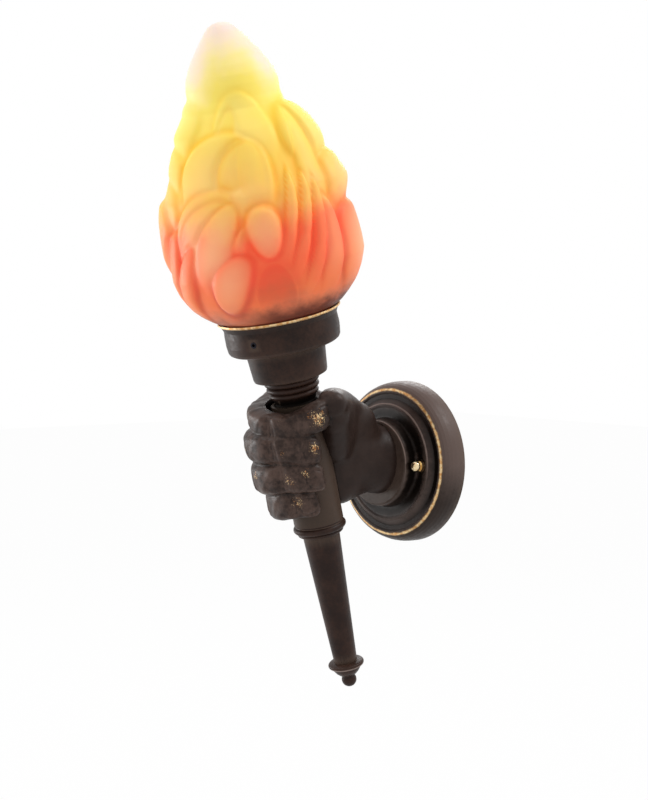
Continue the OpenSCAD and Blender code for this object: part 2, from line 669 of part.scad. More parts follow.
// A spring tongue: a rivet through the core, a flat foot and a raised tip
module centre_contact() color(brass) on_torch() {
    translate([0, 0, core_s + 0.4]) cylinder(r = 1.2, h = core_t - 0.3);
    translate([-2.5, -5, shell_s]) cube([5, 10, contact_t]);
    translate([-2.5, -5, shell_s]) cube([5, contact_t, 2]);
    translate([-2.5, -5, shell_s + 2 - contact_t]) cube([5, 7, contact_t]);
}

module shade_ring() color("#26221f") on_torch() {
    ring(skirt_r + 3, skirt_r + fit_gap, gallery_floor_s, 6);
    ring(ring_r, skirt_r + fit_gap, gallery_floor_s, ring_t - 1.6);
}

// ---- Lamp ----

lamp_cap_s = lamp_s + lamp_contact_h;
globe_s = lamp_s + lamp_len - globe_r;
globe_wall = 0.9;

module lamp_contact() color("#b9bcc0") on_torch() translate([0, 0, lamp_s]) rotate_extrude()
    polygon([[0, 0], [3.2, 0], [4.6, 1.2], [4.6, 1.8], [lamp_thread_r - 3, lamp_contact_h],
        [0, lamp_contact_h]]);

module lamp_cap() color("#c4c6c8") on_torch() ring(lamp_thread_r, lamp_thread_r - 0.8, lamp_cap_s, lamp_cap_len);

// Globe and neck in one wall of glass
function globe_line(wall) = let (r = globe_r - wall, from = asin((lamp_thread_r - 1.4 - wall) / r))
    [for (k = [0:16]) let (a = 180 - from - k * (180 - from) / 16) [r * sin(a), globe_s + r * cos(a)]];
module lamp_globe() color([1, 1, 0.95, 0.5]) on_torch() rotate_extrude() polygon(concat(
    [[lamp_thread_r - 1.4, lamp_cap_s + 3]], globe_line(0),
    [for (k = [16:-1:0]) globe_line(globe_wall)[k]],
    [[lamp_thread_r - 1.4 - globe_wall, lamp_cap_s + 3]]));

module lamp_filament() color("#f2c14e") on_torch() {
    translate([0, 0, lamp_cap_s + 3]) {
        cylinder(r = 4, h = globe_s - lamp_cap_s - 11);
        cylinder(r = lamp_thread_r - 1.4 - globe_wall - slide_gap, h = 1.5);
    }
    for (a = [45:90:315]) rotate([0, 0, a]) translate([3, -0.8, globe_s - 9]) cube([1.2, 1.6, 20]);
    translate([0, 0, globe_s + 11]) cylinder(r = 4.4, h = 1);
}

// ---- Flame shade ----

// Radius of the plain flame under the lobes, as shares of its length and width
flame_line = [[0.085, 0.6], [0.105, 0.68], [0.124, 0.745], [0.15, 0.83], [0.19, 0.92], [0.25, 0.98],
    [0.32, 1], [0.4, 0.975], [0.48, 0.945], [0.54, 0.895], [0.6, 0.835], [0.66, 0.755], [0.7, 0.675],
    [0.74, 0.585], [0.78, 0.52], [0.83, 0.475], [0.87, 0.42], [0.91, 0.34], [0.95, 0.245], [0.975, 0.165],
    [0.99, 0.1], [1, 0.02]];
function flame_r(h) = h <= neck_len ? shade_neck_r
    : shade_r * lookup(h / shade_len, concat([[neck_len / shade_len, shade_neck_r / shade_r]], flame_line));

// Tiers of carved tongues: how many, where the tier starts and ends as a share
// of the length, how far round its first tongue stands, its lean and its height
tiers = [[8, 0.07, 0.45, 48, 34, 0.9], [7, 0.26, 0.6, 20, 30, 1], [6, 0.5, 0.77, 35, 22, 0.9],
    [5, 0.68, 1.05, 10, 10, 0.35]];
function tongue(tier, angle, k) = k <= tier[1] || k >= tier[2] ? 0
    : let (u = (k - tier[1]) / (tier[2] - tier[1]))
      tier[5] * pow(sin(180 * pow(u, 1.9)), 0.65)
      * pow(abs(cos(tier[0] * (angle - tier[3] - tier[4] * u) / 2)), 0.75);
function lobe(angle, k) = lobe_h * max([for (t = tiers) tongue(t, angle, k)]);
function shade_out(angle, h) = flame_r(h) + lobe(angle, h / shade_len) * min(1, flame_r(h) / 20);

shade_sides = 72;
shade_rings = 46;
tip_solid = 14;
tip_turn = -41;
function sway(h) = tip_lean * pow(max(0, h - neck_len) / shade_len, 1.2);
module shade_skin(levels, radii) {
    n = len(levels);
    m = len(radii[0]);
    points = [for (i = [0:n - 1], j = [0:m - 1]) let (a = 360 * j / m)
        [radii[i][j] * sin(a) + sway(levels[i]) * sin(tip_turn),
         -radii[i][j] * cos(a) - sway(levels[i]) * cos(tip_turn), levels[i]]];
    skin = [for (i = [0:n - 2], j = [0:m - 1]) let (a = i * m + j, b = i * m + (j + 1) % m)
        each [[a, a + m, b], [b, a + m, b + m]]];
    polyhedron(points, concat(skin, [[for (j = [0:m - 1]) j]], [[for (j = [m - 1:-1:0]) (n - 1) * m + j]]));
}

module flame_shade() color([0.95, 0.6, 0.4]) on_torch() difference() {
    translate([0, 0, neck_s]) shade_skin(
        [for (i = [0:shade_rings]) shade_len * i / shade_rings],
        [for (i = [0:shade_rings]) [for (j = [0:shade_sides - 1])
            max(1.2, shade_out(360 * j / shade_sides, shade_len * i / shade_rings))]]);
    translate([0, 0, neck_s]) rotate_extrude() polygon(concat(
        [[0, -1], [shade_neck_r - glass_t, -1]],
        [for (i = [0:30]) let (h = (shade_len - tip_solid) * i / 30) [max(0.5, flame_r(h) - glass_t - sway(h)), h]],
        [[0, shade_len - tip_solid]]));
}

wall_plate();
mounting_bar();
mounting_studs();
stud_nuts();
plate_washers();
cap_nuts();
ground_screw();
terminal_block();
block_screw();
terminal_clamps();
line_lead();
neutral_lead();
ground_lead();
wire_grommet();
wrist_screws();
hand();
grip_tube();
collar_ring();
handle_shaft();
finial();
tie_rod();
rod_washer();
rod_nut();
torch_neck();
lamp_pipe();
pipe_washer();
pipe_nut();
socket_cup();
gallery();
shade_seal();
set_screw_1();
set_screw_2();
set_screw_3();
screw_tip_1();
screw_tip_2();
screw_tip_3();
holder_cap();
holder_core();
holder_skirt();
holder_terminals();
screw_shell();
centre_contact();
shade_ring();
lamp_contact();
lamp_cap();
lamp_globe();
lamp_filament();
flame_shade();
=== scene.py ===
import json
import math
import bpy
import numpy as np
from mathutils import Matrix, Vector


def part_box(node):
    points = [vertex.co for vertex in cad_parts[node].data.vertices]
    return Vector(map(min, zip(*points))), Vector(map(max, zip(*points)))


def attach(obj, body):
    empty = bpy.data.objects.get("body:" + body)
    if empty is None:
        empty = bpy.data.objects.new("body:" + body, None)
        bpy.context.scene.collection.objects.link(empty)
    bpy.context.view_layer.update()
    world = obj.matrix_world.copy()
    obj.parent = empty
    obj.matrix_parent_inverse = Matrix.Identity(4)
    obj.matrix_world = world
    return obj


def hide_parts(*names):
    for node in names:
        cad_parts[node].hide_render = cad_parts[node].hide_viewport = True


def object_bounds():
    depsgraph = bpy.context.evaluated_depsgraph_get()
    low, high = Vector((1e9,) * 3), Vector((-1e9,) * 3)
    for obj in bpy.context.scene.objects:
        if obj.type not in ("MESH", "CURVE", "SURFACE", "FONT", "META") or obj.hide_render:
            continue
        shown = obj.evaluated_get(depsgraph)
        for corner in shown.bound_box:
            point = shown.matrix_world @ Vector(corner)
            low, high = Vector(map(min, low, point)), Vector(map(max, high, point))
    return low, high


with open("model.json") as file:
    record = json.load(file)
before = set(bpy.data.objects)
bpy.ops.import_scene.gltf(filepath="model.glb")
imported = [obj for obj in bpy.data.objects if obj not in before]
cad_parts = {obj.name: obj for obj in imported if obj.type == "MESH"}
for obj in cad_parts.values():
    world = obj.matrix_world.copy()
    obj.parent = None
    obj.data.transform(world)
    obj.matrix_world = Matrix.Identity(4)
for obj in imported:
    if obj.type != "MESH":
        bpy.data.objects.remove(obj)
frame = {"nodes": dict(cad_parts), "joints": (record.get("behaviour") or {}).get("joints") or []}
cad_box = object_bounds()

# ------------------------ sizes, in millimetres

MM = 0.001
DOUBLES_GAP = 0.001
MILLIMETRES = Matrix.Scale(MM, 4)

# The torch's own frame: z runs up its axis, -y is the side away from the wall
LIFT_AXIS = Vector(next(j["axis"] for j in frame["joints"] if j["name"] == "shade_lift"))
LEAN = math.atan2(-LIFT_AXIS.y, LIFT_AXIS.z)
REACH = 90.0
TORCH = Matrix.Translation((0, -REACH * MM, 0)) @ Matrix.Rotation(LEAN, 4, "X") @ MILLIMETRES


def torch_size(name):
    """Lowest and highest place along the torch axis and the widest radius of a CAD node."""
    corners = np.array([v.co for v in frame["nodes"][name].data.vertices])
    local = corners @ np.array(TORCH.inverted().to_3x3()).T + np.array(TORCH.inverted().translation)
    return local[:, 2].min(), local[:, 2].max(), np.hypot(local[:, 0], local[:, 1]).max()


GRIP_BOTTOM, GRIP_TOP, GRIP_R = torch_size("grip_tube")
COLLAR_BOTTOM, COLLAR_TOP, COLLAR_R = torch_size("collar_ring")
FINIAL_BOTTOM, SHAFT_BOTTOM, FINIAL_R = torch_size("finial")
NECK_BOTTOM, CUP_BOTTOM, NECK_R = torch_size("torch_neck")
_, LIP_S, LIP_R = torch_size("gallery")
GLASS_BOTTOM, GLASS_TOP, _ = torch_size("flame_shade")

BOSS_H = -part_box("wall_plate")[0].y / MM

# The stems that go into the grip tube, and the radii of the bores for the lamp's pipe and the tie rod
SPIGOT_LEN = GRIP_TOP - NECK_BOTTOM
SPIGOT_R = GRIP_R - 2.2
PIPE_ROOM = 5.2
ROD_ROOM = 2.7


# ------------------------ modelling helpers

def only(piece):
    """Makes the piece the one selected and active object, in object mode."""
    if bpy.context.mode != "OBJECT":
        bpy.ops.object.mode_set(mode="OBJECT")
    bpy.ops.object.select_all(action="DESELECT")
    piece.select_set(True)
    bpy.context.view_layer.objects.active = piece


def clear_selection():
    if bpy.context.mode != "OBJECT":
        bpy.ops.object.mode_set(mode="OBJECT")
    bpy.ops.object.select_all(action="DESELECT")


def modify(piece, kind, **settings):
    """Adds a modifier with these settings and applies it."""
    only(piece)
    modifier = piece.modifiers.new(kind.lower(), kind)
    for key, value in settings.items():
        setattr(modifier, key, value)
    bpy.ops.object.modifier_apply(modifier=modifier.name)


def tidy_mesh(piece):
    """Merges doubled points and turns all faces outwards."""
    only(piece)
    bpy.ops.object.mode_set(mode="EDIT")
    bpy.ops.mesh.select_all(action="SELECT")
    bpy.ops.mesh.remove_doubles(threshold=DOUBLES_GAP)
    bpy.ops.mesh.normals_make_consistent(inside=False)
    bpy.ops.object.mode_set(mode="OBJECT")


def settle(piece, place, body, finish, replaced, smooth=40):
    """Puts a piece modelled in millimetres in place of a CAD node and hangs it on its body."""
    only(piece)
    piece.matrix_world = place
    bpy.ops.object.transform_apply(location=True, rotation=True, scale=True)
    bpy.ops.object.shade_smooth_by_angle(angle=math.radians(smooth))
    piece.data.materials.clear()
    piece.data.materials.append(finish)
    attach(piece, body)
    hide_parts(replaced)


def arc(across, along, radius, start, end, steps):
    """Points of a rounded corner in an outline, angles in degrees from the outward side towards the top."""
    turns = [math.radians(start + (end - start) * i / steps) for i in range(steps + 1)]
    return [(across + radius * math.cos(a), along + radius * math.sin(a)) for a in turns]


def turned(name, outline, steps, edge):
    """A piece turned on a lathe: the first ring of its outline is drawn up ring by ring to the last."""
    clear_selection()
    radius, height = outline[0]
    bpy.ops.mesh.primitive_circle_add(vertices=steps, radius=radius, location=(0, 0, height))
    piece = bpy.context.active_object
    piece.name = name
    bpy.ops.object.transform_apply(location=True, rotation=True, scale=True)
    bpy.ops.object.mode_set(mode="EDIT")
    bpy.ops.mesh.select_all(action="SELECT")
    for new_radius, new_height in outline[1:]:
        bpy.ops.mesh.extrude_region_move(TRANSFORM_OT_translate={"value": (0, 0, new_height - height)})
        grow = new_radius / radius
        bpy.ops.transform.resize(value=(grow, grow, 1), center_override=(0, 0, new_height))
        radius, height = new_radius, new_height
    bpy.ops.object.mode_set(mode="OBJECT")
    tidy_mesh(piece)
    if edge:
        modify(piece, "BEVEL", width=edge, segments=2, limit_method="ANGLE", angle_limit=math.radians(28))
    return piece


def mesh_points(mesh):
    points = np.empty(len(mesh.vertices) * 3)
    mesh.vertices.foreach_get("co", points)
    return points.reshape(-1, 3)


def drawn_out(name, segments, rings, shape):
    """A sphere drawn out: shape places each point by its angle and its share of the way between the poles."""
    clear_selection()
    bpy.ops.mesh.primitive_uv_sphere_add(segments=segments, ring_count=rings, radius=1)
    skin = bpy.context.active_object
    skin.name = name
    points = mesh_points(skin.data)
    share = 1 - np.arccos(np.clip(points[:, 2], -1, 1)) / math.pi
    angle = np.degrees(np.arctan2(points[:, 0], -points[:, 1]))
    skin.data.vertices.foreach_set("co", shape(angle, share, skin.data).reshape(-1))
    skin.data.update()
    return skin


def join(pieces, name):
    clear_selection()
    for piece in pieces:
        piece.select_set(True)
    bpy.context.view_layer.objects.active = pieces[0]
    bpy.ops.object.join()
    pieces[0].name = name
    return pieces[0]


def cut_away(piece, *cutters):
    """Takes the cutters' space out of a piece."""
    for cutter in cutters:
        modify(piece, "BOOLEAN", operation="DIFFERENCE", object=cutter, solver="MANIFOLD")
        bpy.data.objects.remove(cutter)


# ------------------------ material helpers

def new_finish(name):
    finish = bpy.data.materials.new(name)
    finish.use_nodes = True
    finish.node_tree.nodes.clear()
    return finish


def node(finish, kind, settings=None, inputs=None):
    """Adds a node; an input is either a plain value or another node's output."""
    added = finish.node_tree.nodes.new(kind)
    for key, value in (settings or {}).items():
        setattr(added, key, value)
    for key, value in (inputs or {}).items():
        if isinstance(value, bpy.types.NodeSocket):
            finish.node_tree.links.new(value, added.inputs[key])
        else:
            added.inputs[key].default_value = value
    return added


def math_node(finish, operation, first, second=0.0):
    return node(finish, "ShaderNodeMath", {"operation": operation}, {0: first, 1: second}).outputs[0]


def times(finish, first, second):
    return math_node(finish, "MULTIPLY", first, second)


def plus(finish, first, second):
    return math_node(finish, "ADD", first, second)


def hypotenuse(finish, first, second):
    squares = [times(finish, value, value) for value in (first, second)]
    return math_node(finish, "SQRT", plus(finish, *squares))


def row_place(finish, turn=0.0, origin=(0, 0, 0)):
    """Object coordinates in millimetres, turned about x and moved to an origin."""
    coordinates = node(finish, "ShaderNodeTexCoord").outputs["Object"]
    inputs = {"Vector": coordinates, "Scale": (1 / MM,) * 3, "Rotation": (turn, 0, 0), "Location": origin}
    return node(finish, "ShaderNodeMapping", {}, inputs).outputs[0]


def torch_place(finish):
    """Millimetres in the torch's own frame."""
    return row_place(finish, -LEAN, Matrix.Rotation(-LEAN, 3, "X") @ Vector((0, REACH, 0)))


def plate_place(finish):
    """Millimetres in the wall plate's frame: z is the distance from the wall."""
    return row_place(finish, -math.pi / 2)


def sides_of(finish, place):
    """The three coordinates of a place."""
    return node(finish, "ShaderNodeSeparateXYZ", {}, {"Vector": place}).outputs


def noise(finish, place, size, detail=3.0, rough=0.55):
    """Noise whose lumps are about this many millimetres across."""
    inputs = {"Vector": place, "Scale": 1.0 / size, "Detail": detail, "Roughness": rough}
    return node(finish, "ShaderNodeTexNoise", {}, inputs).outputs["Fac"]


def remap(finish, value, low, high, to_low=0.0, to_high=1.0, smooth=True):
    settings = {"interpolation_type": "SMOOTHSTEP" if smooth else "LINEAR", "clamp": True}
    inputs = {"Value": value, "From Min": low, "From Max": high, "To Min": to_low, "To Max": to_high}
    return node(finish, "ShaderNodeMapRange", settings, inputs).outputs[0]


def blend_colour(finish, amount, first, second):
    inputs = {0: amount}
    for slot, value in ((6, first), (7, second)):
        inputs[slot] = (*value, 1) if isinstance(value, tuple) else value
    return node(finish, "ShaderNodeMix", {"data_type": "RGBA"}, inputs).outputs[2]


def ramp(finish, value, stops):
    """Colours along a value: each stop is its place and its colour."""
    added = node(finish, "ShaderNodeValToRGB", {}, {"Fac": value})
    elements = added.color_ramp.elements
    while len(elements) < len(stops):
        elements.new(0.5)
    for element, (place, colour) in zip(elements, stops):
        element.position = place
        element.color = (*colour, 1)
    return added.outputs["Color"]


def bump(finish, height, strength, distance, normal=None):
    inputs = {"Height": height, "Strength": strength, "Distance": distance * MM}
    if normal is not None:
        inputs["Normal"] = normal
    return node(finish, "ShaderNodeBump", {}, inputs).outputs["Normal"]


def surface(finish, inputs):
    """The one shader of a material; constants sit on its own sockets."""
    shader = node(finish, "ShaderNodeBsdfPrincipled", {}, inputs)
    node(finish, "ShaderNodeOutputMaterial", {}, {"Surface": shader.outputs[0]})
    return finish


# ------------------------ materials

BROWN_BLACK = (0.016, 0.0082, 0.0062)
WARM_BROWN = (0.052, 0.026, 0.018)
WORN_BROWN = (0.112, 0.070, 0.056)
RUBBED_GOLD = (0.50, 0.18, 0.045)
OLD_GOLD = (0.72, 0.36, 0.12)
PALE_GOLD = (1.0, 0.76, 0.42)
THUMB_PAINTED_HIGHLIGHT = (0.42, 0.31, 0.27)
PALE_LINE = (0.26, 0.19, 0.165)
PAINTED_SHADE_BLACK = (0.006, 0.0042, 0.0034)
HOLLOW_BLACK = (0.006, 0.004, 0.003)
EDGE_BROWN = (0.16, 0.11, 0.08)
PAINT_GLOSS = 0.17
PAINTED_SHADE_GLOSS = 0.02


def ring_mask(finish, place, radius, height, half_width, soft):
    """A line painted round the axis: 1 close to the circle of this radius and height, 0 away from it."""
    x, y, z = sides_of(finish, place)
    off = math_node(finish, "SUBTRACT", hypotenuse(finish, x, y), radius)
    up = math_node(finish, "SUBTRACT", z, height)
    ragged = noise(finish, place, 4.0, 2.0)
    away = plus(finish, hypotenuse(finish, off, up), times(finish, ragged, soft))
    return remap(finish, away, half_width + soft, half_width * 0.55 + soft * 0.4)


def rub_mask(finish, place, spots):
    """Where hands have rubbed the paint through to gold: a spot is its place, its reach and its strength."""
    speckle = noise(finish, place, 0.9, 4.0, 0.7)
    total = None
    for spot, reach, strength in spots:
        offset = node(finish, "ShaderNodeVectorMath", {"operation": "DISTANCE"}, {0: place, 1: spot})
        near = remap(finish, offset.outputs["Value"], reach, 0.0, 0.0, strength)
        total = near if total is None else math_node(finish, "MAXIMUM", total, near)
    level = math_node(finish, "SUBTRACT", 0.72, times(finish, total, 0.27))
    shown = math_node(finish, "SUBTRACT", speckle, level)
    return times(finish, remap(finish, shown, 0.0, 0.07), remap(finish, total, 0.02, 0.12))


def antique_bronze(name, place_of, dark, light, cloud=26.0, rings=(), spots=(), shade_rings=(), pale_lines=(),
                   palm=False, plate=False):
    """Brown-black antique paint over a casting, darker in the hollows, with gilded and rubbed places, and
    painted light and shade.
    """
    finish = new_finish(name)
    place = place_of(finish)
    x, y, z = sides_of(finish, place)
    broad = noise(finish, place, cloud, 3.0)
    fine = noise(finish, place, 2.6, 5.0, 0.65)
    grain = noise(finish, place, 0.7, 3.0, 0.6)
    clouds = plus(finish, times(finish, broad, 0.65), times(finish, fine, 0.35))
    mottle = remap(finish, clouds, 0.36, 0.66)
    if palm:
        # Painted light and shade: the mottle is painted down to dark on the palm, towards the wall, as
        # painted shade, and painted lighter on the top of the fist and thumb, as painted light from above
        painted_top_light = remap(finish, z, 40.0, 54.0, 0.0, 1.3)
        painted_light_share = math_node(finish, "MAXIMUM", remap(finish, y, 2.0, -20.0, 0.12, 1.0), painted_top_light)
        mottle = times(finish, mottle, painted_light_share)
    if plate:
        # Painted light and shade: the outer side is painted pale at the top, where light falls, and dark
        # below
        outer = remap(finish, hypotenuse(finish, x, y), 48.0, 50.5)
        painted_side_light = times(finish, outer, remap(finish, y, -48.0, 40.0, -0.9, 1.5))
        mottle = plus(finish, times(finish, mottle, 0.5), painted_side_light)
    colour = blend_colour(finish, mottle, dark, light)
    if palm:
        # Painted highlight: a grey sheen is painted on the top of the thumb and fist, where light falls from
        # above
        sheen = times(finish, remap(finish, z, 44.0, 54.0, 0.0, 0.55), broad)
        colour = blend_colour(finish, sheen, colour, THUMB_PAINTED_HIGHLIGHT)
    for ring in pale_lines:
        amount = ring_mask(finish, place, *ring)
        # On the plate these pale lines are painted highlights on the step edges, shown only on the upper
        # part, where light falls
        if plate:
            amount = times(finish, amount, remap(finish, y, -16.0, 12.0))
        colour = blend_colour(finish, amount, colour, PALE_LINE)
    # Painted shadow: the painted shade rings are full within 14 mm of y = 0 and fall to about a third beyond
    # 36 mm
    middle = remap(finish, math_node(finish, "ABSOLUTE", y), 36.0, 14.0, 0.35, 1.0)
    painted_shade = None
    for ring in shade_rings:
        amount = times(finish, ring_mask(finish, place, *ring), middle)
        painted_shade = amount if painted_shade is None else math_node(finish, "MAXIMUM", painted_shade, amount)
        colour = blend_colour(finish, amount, colour, PAINTED_SHADE_BLACK)
    point = node(finish, "ShaderNodeNewGeometry").outputs["Pointiness"]
    hollow = times(finish, remap(finish, point, 0.5, 0.44), 0.85)
    colour = blend_colour(finish, hollow, colour, HOLLOW_BLACK)
    edge = times(finish, remap(finish, point, 0.51, 0.60), 0.35)
    colour = blend_colour(finish, edge, colour, EDGE_BROWN)
    rough = remap(finish, fine, 0.3, 0.7, 0.34, 0.5)
    inputs = {"Roughness": rough, "Specular IOR Level": PAINT_GLOSS}
    if shade_rings:
        inputs["Specular IOR Level"] = remap(finish, painted_shade, 0.0, 1.0, PAINT_GLOSS, PAINTED_SHADE_GLOSS)
    masks = [ring_mask(finish, place, *ring) for ring in rings]
    if spots:
        masks.append(rub_mask(finish, place, spots))
    for gold in masks:
        old = RUBBED_GOLD if spots else OLD_GOLD
        gilt = blend_colour(finish, remap(finish, fine, 0.36, 0.62), old, PALE_GOLD)
        colour = blend_colour(finish, gold, colour, gilt)
        inputs["Metallic"] = times(finish, gold, 0.55)
    waves = bump(finish, broad, 0.25, 1.2)
    inputs["Normal"] = bump(finish, plus(finish, grain, fine), 0.22, 0.12, waves)
    inputs["Base Color"] = colour
    return surface(finish, inputs)


def metal(name, dark, light, rough):
    """Bare or plated metal with faint tarnish and fine tool marks."""
    finish = new_finish(name)
    place = row_place(finish)
    tarnish = noise(finish, place, 6.0, 4.0, 0.6)
    marks = noise(finish, place, 0.8, 3.0, 0.6)
    colour = blend_colour(finish, remap(finish, tarnish, 0.35, 0.65), dark, light)
    return surface(finish, {
        "Base Color": colour, "Metallic": 1.0,
        "Roughness": remap(finish, marks, 0.3, 0.7, rough * 0.8, rough * 1.25),
        "Normal": bump(finish, marks, 0.15, 0.06)})


def moulded(name, dark, light, rough, grain=1.2, relief=0.08, sheen=0.0):
    """Plastic, rubber, ceramic or felt: a body colour that varies a little, with a fine grain."""
    finish = new_finish(name)
    place = row_place(finish)
    cloud = noise(finish, place, 9.0, 3.0)
    fine = noise(finish, place, grain, 4.0, 0.65)
    colour = blend_colour(finish, remap(finish, cloud, 0.3, 0.7), dark, light)
    return surface(finish, {
        "Base Color": colour, "Sheen Weight": sheen,
        "Roughness": remap(finish, fine, 0.3, 0.7, rough * 0.85, min(1.0, rough * 1.2)),
        "Normal": bump(finish, fine, 0.2, relief)})


# The glass's colours from its foot to its tip: on its smooth skin, in its grooves and on its tongues' crowns.
# The dark brown first stops are painted shade where the foot stands in the cup's lip
FLAME_STOPS = (
    (0.00, (0.10, 0.030, 0.020)), (0.04, (0.26, 0.075, 0.040)), (0.075, (0.66, 0.20, 0.10)),
    (0.13, (0.86, 0.20, 0.075)), (0.22, (0.93, 0.15, 0.062)), (0.31, (0.97, 0.18, 0.075)),
    (0.37, (0.98, 0.35, 0.11)), (0.43, (0.97, 0.50, 0.12)), (0.54, (0.98, 0.62, 0.11)),
    (0.68, (0.96, 0.74, 0.13)), (0.80, (0.96, 0.80, 0.17)), (0.88, (0.96, 0.82, 0.33)),
    (0.94, (0.93, 0.77, 0.56)), (1.00, (0.90, 0.74, 0.66)))
GROOVE_STOPS = (
    (0.00, (0.14, 0.035, 0.025)), (0.10, (0.50, 0.085, 0.045)), (0.22, (0.84, 0.085, 0.045)),
    (0.32, (0.88, 0.13, 0.05)), (0.42, (0.88, 0.33, 0.04)), (0.56, (0.88, 0.47, 0.035)),
    (0.70, (0.90, 0.60, 0.04)), (0.86, (0.93, 0.72, 0.10)), (1.00, (0.92, 0.78, 0.66)))
CROWN_STOPS = (
    (0.00, (0.80, 0.30, 0.16)), (0.12, (0.96, 0.42, 0.22)), (0.25, (0.97, 0.49, 0.26)),
    (0.38, (0.98, 0.54, 0.25)), (0.50, (0.98, 0.66, 0.22)), (0.68, (0.98, 0.78, 0.20)),
    (0.82, (0.98, 0.86, 0.30)), (1.00, (0.97, 0.87, 0.78)))
LIP_SHADE_BROWN = (0.10, 0.026, 0.016)
# The torch's own x and y as shares of the way across the flame, from its lower leaves to its long ribs
ACROSS_X, ACROSS_Y = 0.66, 0.75


def flame_glass():
    """Satin glass painted from coral at the neck through orange and yellow to a pale frosted tip."""
    finish = new_finish("flame_glass")
    place = torch_place(finish)
    x, y, up = sides_of(finish, place)
    across = plus(finish, times(finish, x, ACROSS_X), times(finish, y, ACROSS_Y))
    aside = math_node(finish, "ABSOLUTE", across)
    drift = noise(finish, place, 34.0, 3.0)
    swirl = noise(finish, place, 9.0, 3.0)
    shift = times(finish, math_node(finish, "SUBTRACT", drift, 0.5), 30.0)
    shift = plus(finish, shift, times(finish, math_node(finish, "SUBTRACT", swirl, 0.5), 10.0))
    # At the sides the coral reaches higher in the middle of the flame, and the cream lower at its tip
    coral = times(finish, remap(finish, aside, 18.0, 50.0, 0.0, -9.0), remap(finish, up, 182.0, 160.0))
    coral = times(finish, coral, remap(finish, up, 125.0, 150.0))
    cream = times(finish, remap(finish, aside, 8.0, 24.0, 0.0, 20.0), remap(finish, up, 222.0, 250.0))
    shift = plus(finish, shift, plus(finish, coral, cream))
    height = remap(finish, plus(finish, up, shift), LIP_S - 6, GLASS_TOP, smooth=False)
    groove = node(finish, "ShaderNodeAttribute", {"attribute_name": "groove"}).outputs["Fac"]
    swell = node(finish, "ShaderNodeAttribute", {"attribute_name": "swell"}).outputs["Fac"]
    colour = ramp(finish, height, FLAME_STOPS)
    colour = blend_colour(finish, times(finish, groove, 0.8), colour, ramp(finish, height, GROOVE_STOPS))
    colour = blend_colour(finish, times(finish, swell, 0.8), colour, ramp(finish, height, CROWN_STOPS))
    # Painted shade: a dark band is painted on the glass just above the cup's lip, stronger on one side, as
    # the lip's shadow
    lip_shade = plus(finish, up, times(finish, swirl, 10.0))
    lip_shade = remap(finish, lip_shade, LIP_S + 21, LIP_S + 8)
    lip_shade = times(finish, lip_shade, remap(finish, across, -28.0, 4.0, 0.25, 0.95))
    colour = blend_colour(finish, lip_shade, colour, LIP_SHADE_BROWN)
    frost = noise(finish, place, 0.8, 3.0, 0.6)
    return surface(finish, {
        "Base Color": colour,
        "Roughness": remap(finish, frost, 0.3, 0.7, 0.4, 0.52),
        "IOR": 1.5,
        "Specular IOR Level": 0.12,
        "Transmission Weight": 0.04,
        "Subsurface Weight": 0.18,
        "Subsurface Radius": (0.012, 0.008, 0.005),
        "Subsurface Scale": 1.0,
        # Painted glow: the glass emits its own colours, standing in for light from inside it, which flattens
        # its shading
        "Emission Color": colour,
        "Emission Strength": 0.25,
        "Normal": bump(finish, frost, 0.08, 0.05)})


def clear_glass():
    finish = new_finish("clear_glass")
    place = row_place(finish)
    film = noise(finish, place, 7.0, 3.0)
    tint = blend_colour(finish, remap(finish, film, 0.3, 0.7), (0.93, 0.95, 0.95), (1.0, 1.0, 0.99))
    return surface(finish, {
        "Base Color": tint, "Roughness": remap(finish, film, 0.3, 0.7, 0.02, 0.06),
        "IOR": 1.5, "Transmission Weight": 1.0})


def hot_wire():
    finish = new_finish("filament")
    place = row_place(finish)
    warm = noise(finish, place, 3.0, 2.0)
    return surface(finish, {
        "Base Color": blend_colour(finish, warm, (0.8, 0.62, 0.35), (0.95, 0.82, 0.6)),
        "Roughness": 0.4, "Emission Color": (1.0, 0.78, 0.45, 1), "Emission Strength": 1.5})


def torch_spot(angle, radius, height):
    """A point round the torch: the angle is from the front towards +X."""
    turn = math.radians(angle)
    return Vector((radius * math.sin(turn), -radius * math.cos(turn), height))


# Places on the fist that hands have rubbed to gold: angle, radius, height, reach and strength
RUBBED = (
    (75, 30, 38, 11.0, 1.0), (66, 31, 41, 7.0, 0.8), (28, 30, 42, 6.0, 0.4), (-34, 33, 43, 8.0, 0.6),
    (63, 31, 19.6, 8.0, 0.9), (26, 32.5, 20, 6.0, 0.55), (-35, 38, 21, 8.0, 0.6), (47, 31, 4.3, 6.5, 0.85),
    (24, 32, 1, 8.5, 0.65), (-24, 37, 3.5, 8.0, 0.8), (28, 28.5, -15, 9.0, 0.85), (44, 28, -13, 5.0, 0.6))


# Lines round the axis, each with its radius, height, half width and softness: painted shade in the steps of
# the wall plate's face, in the fist's hollow and round the grip's top; painted highlights on the plate's step
# edges; the gilded lines of the rim and the cup's lip; and the pale line round the finial's flange
PLATE_PAINTED_SHADE = ((45.6, 16.6, 2.2, 1.2), (34.0, 20.2, 2.6, 2.4), (29.8, 24.5, 3.4, 2.4))
PLATE_PAINTED_HIGHLIGHTS = ((40.0, 20.4, 0.55, 0.6), (28.9, 29.6, 0.55, 0.6))
RIM_LINE = (49.4, 17.0, 0.75, 1.3)
LIP_LINE = (LIP_R - 0.3, LIP_S - 0.6, 1.5, 0.5)
FINIAL_LINE = (FINIAL_R - 0.4, SHAFT_BOTTOM - 3.1, 0.7, 0.5)
FIST_HOLLOW_SHADE = (19.6, GRIP_TOP - 2, 3.6, 1.6)
GRIP_HOLLOW_SHADE = (15.5, GRIP_TOP, 5.8, 1.2)


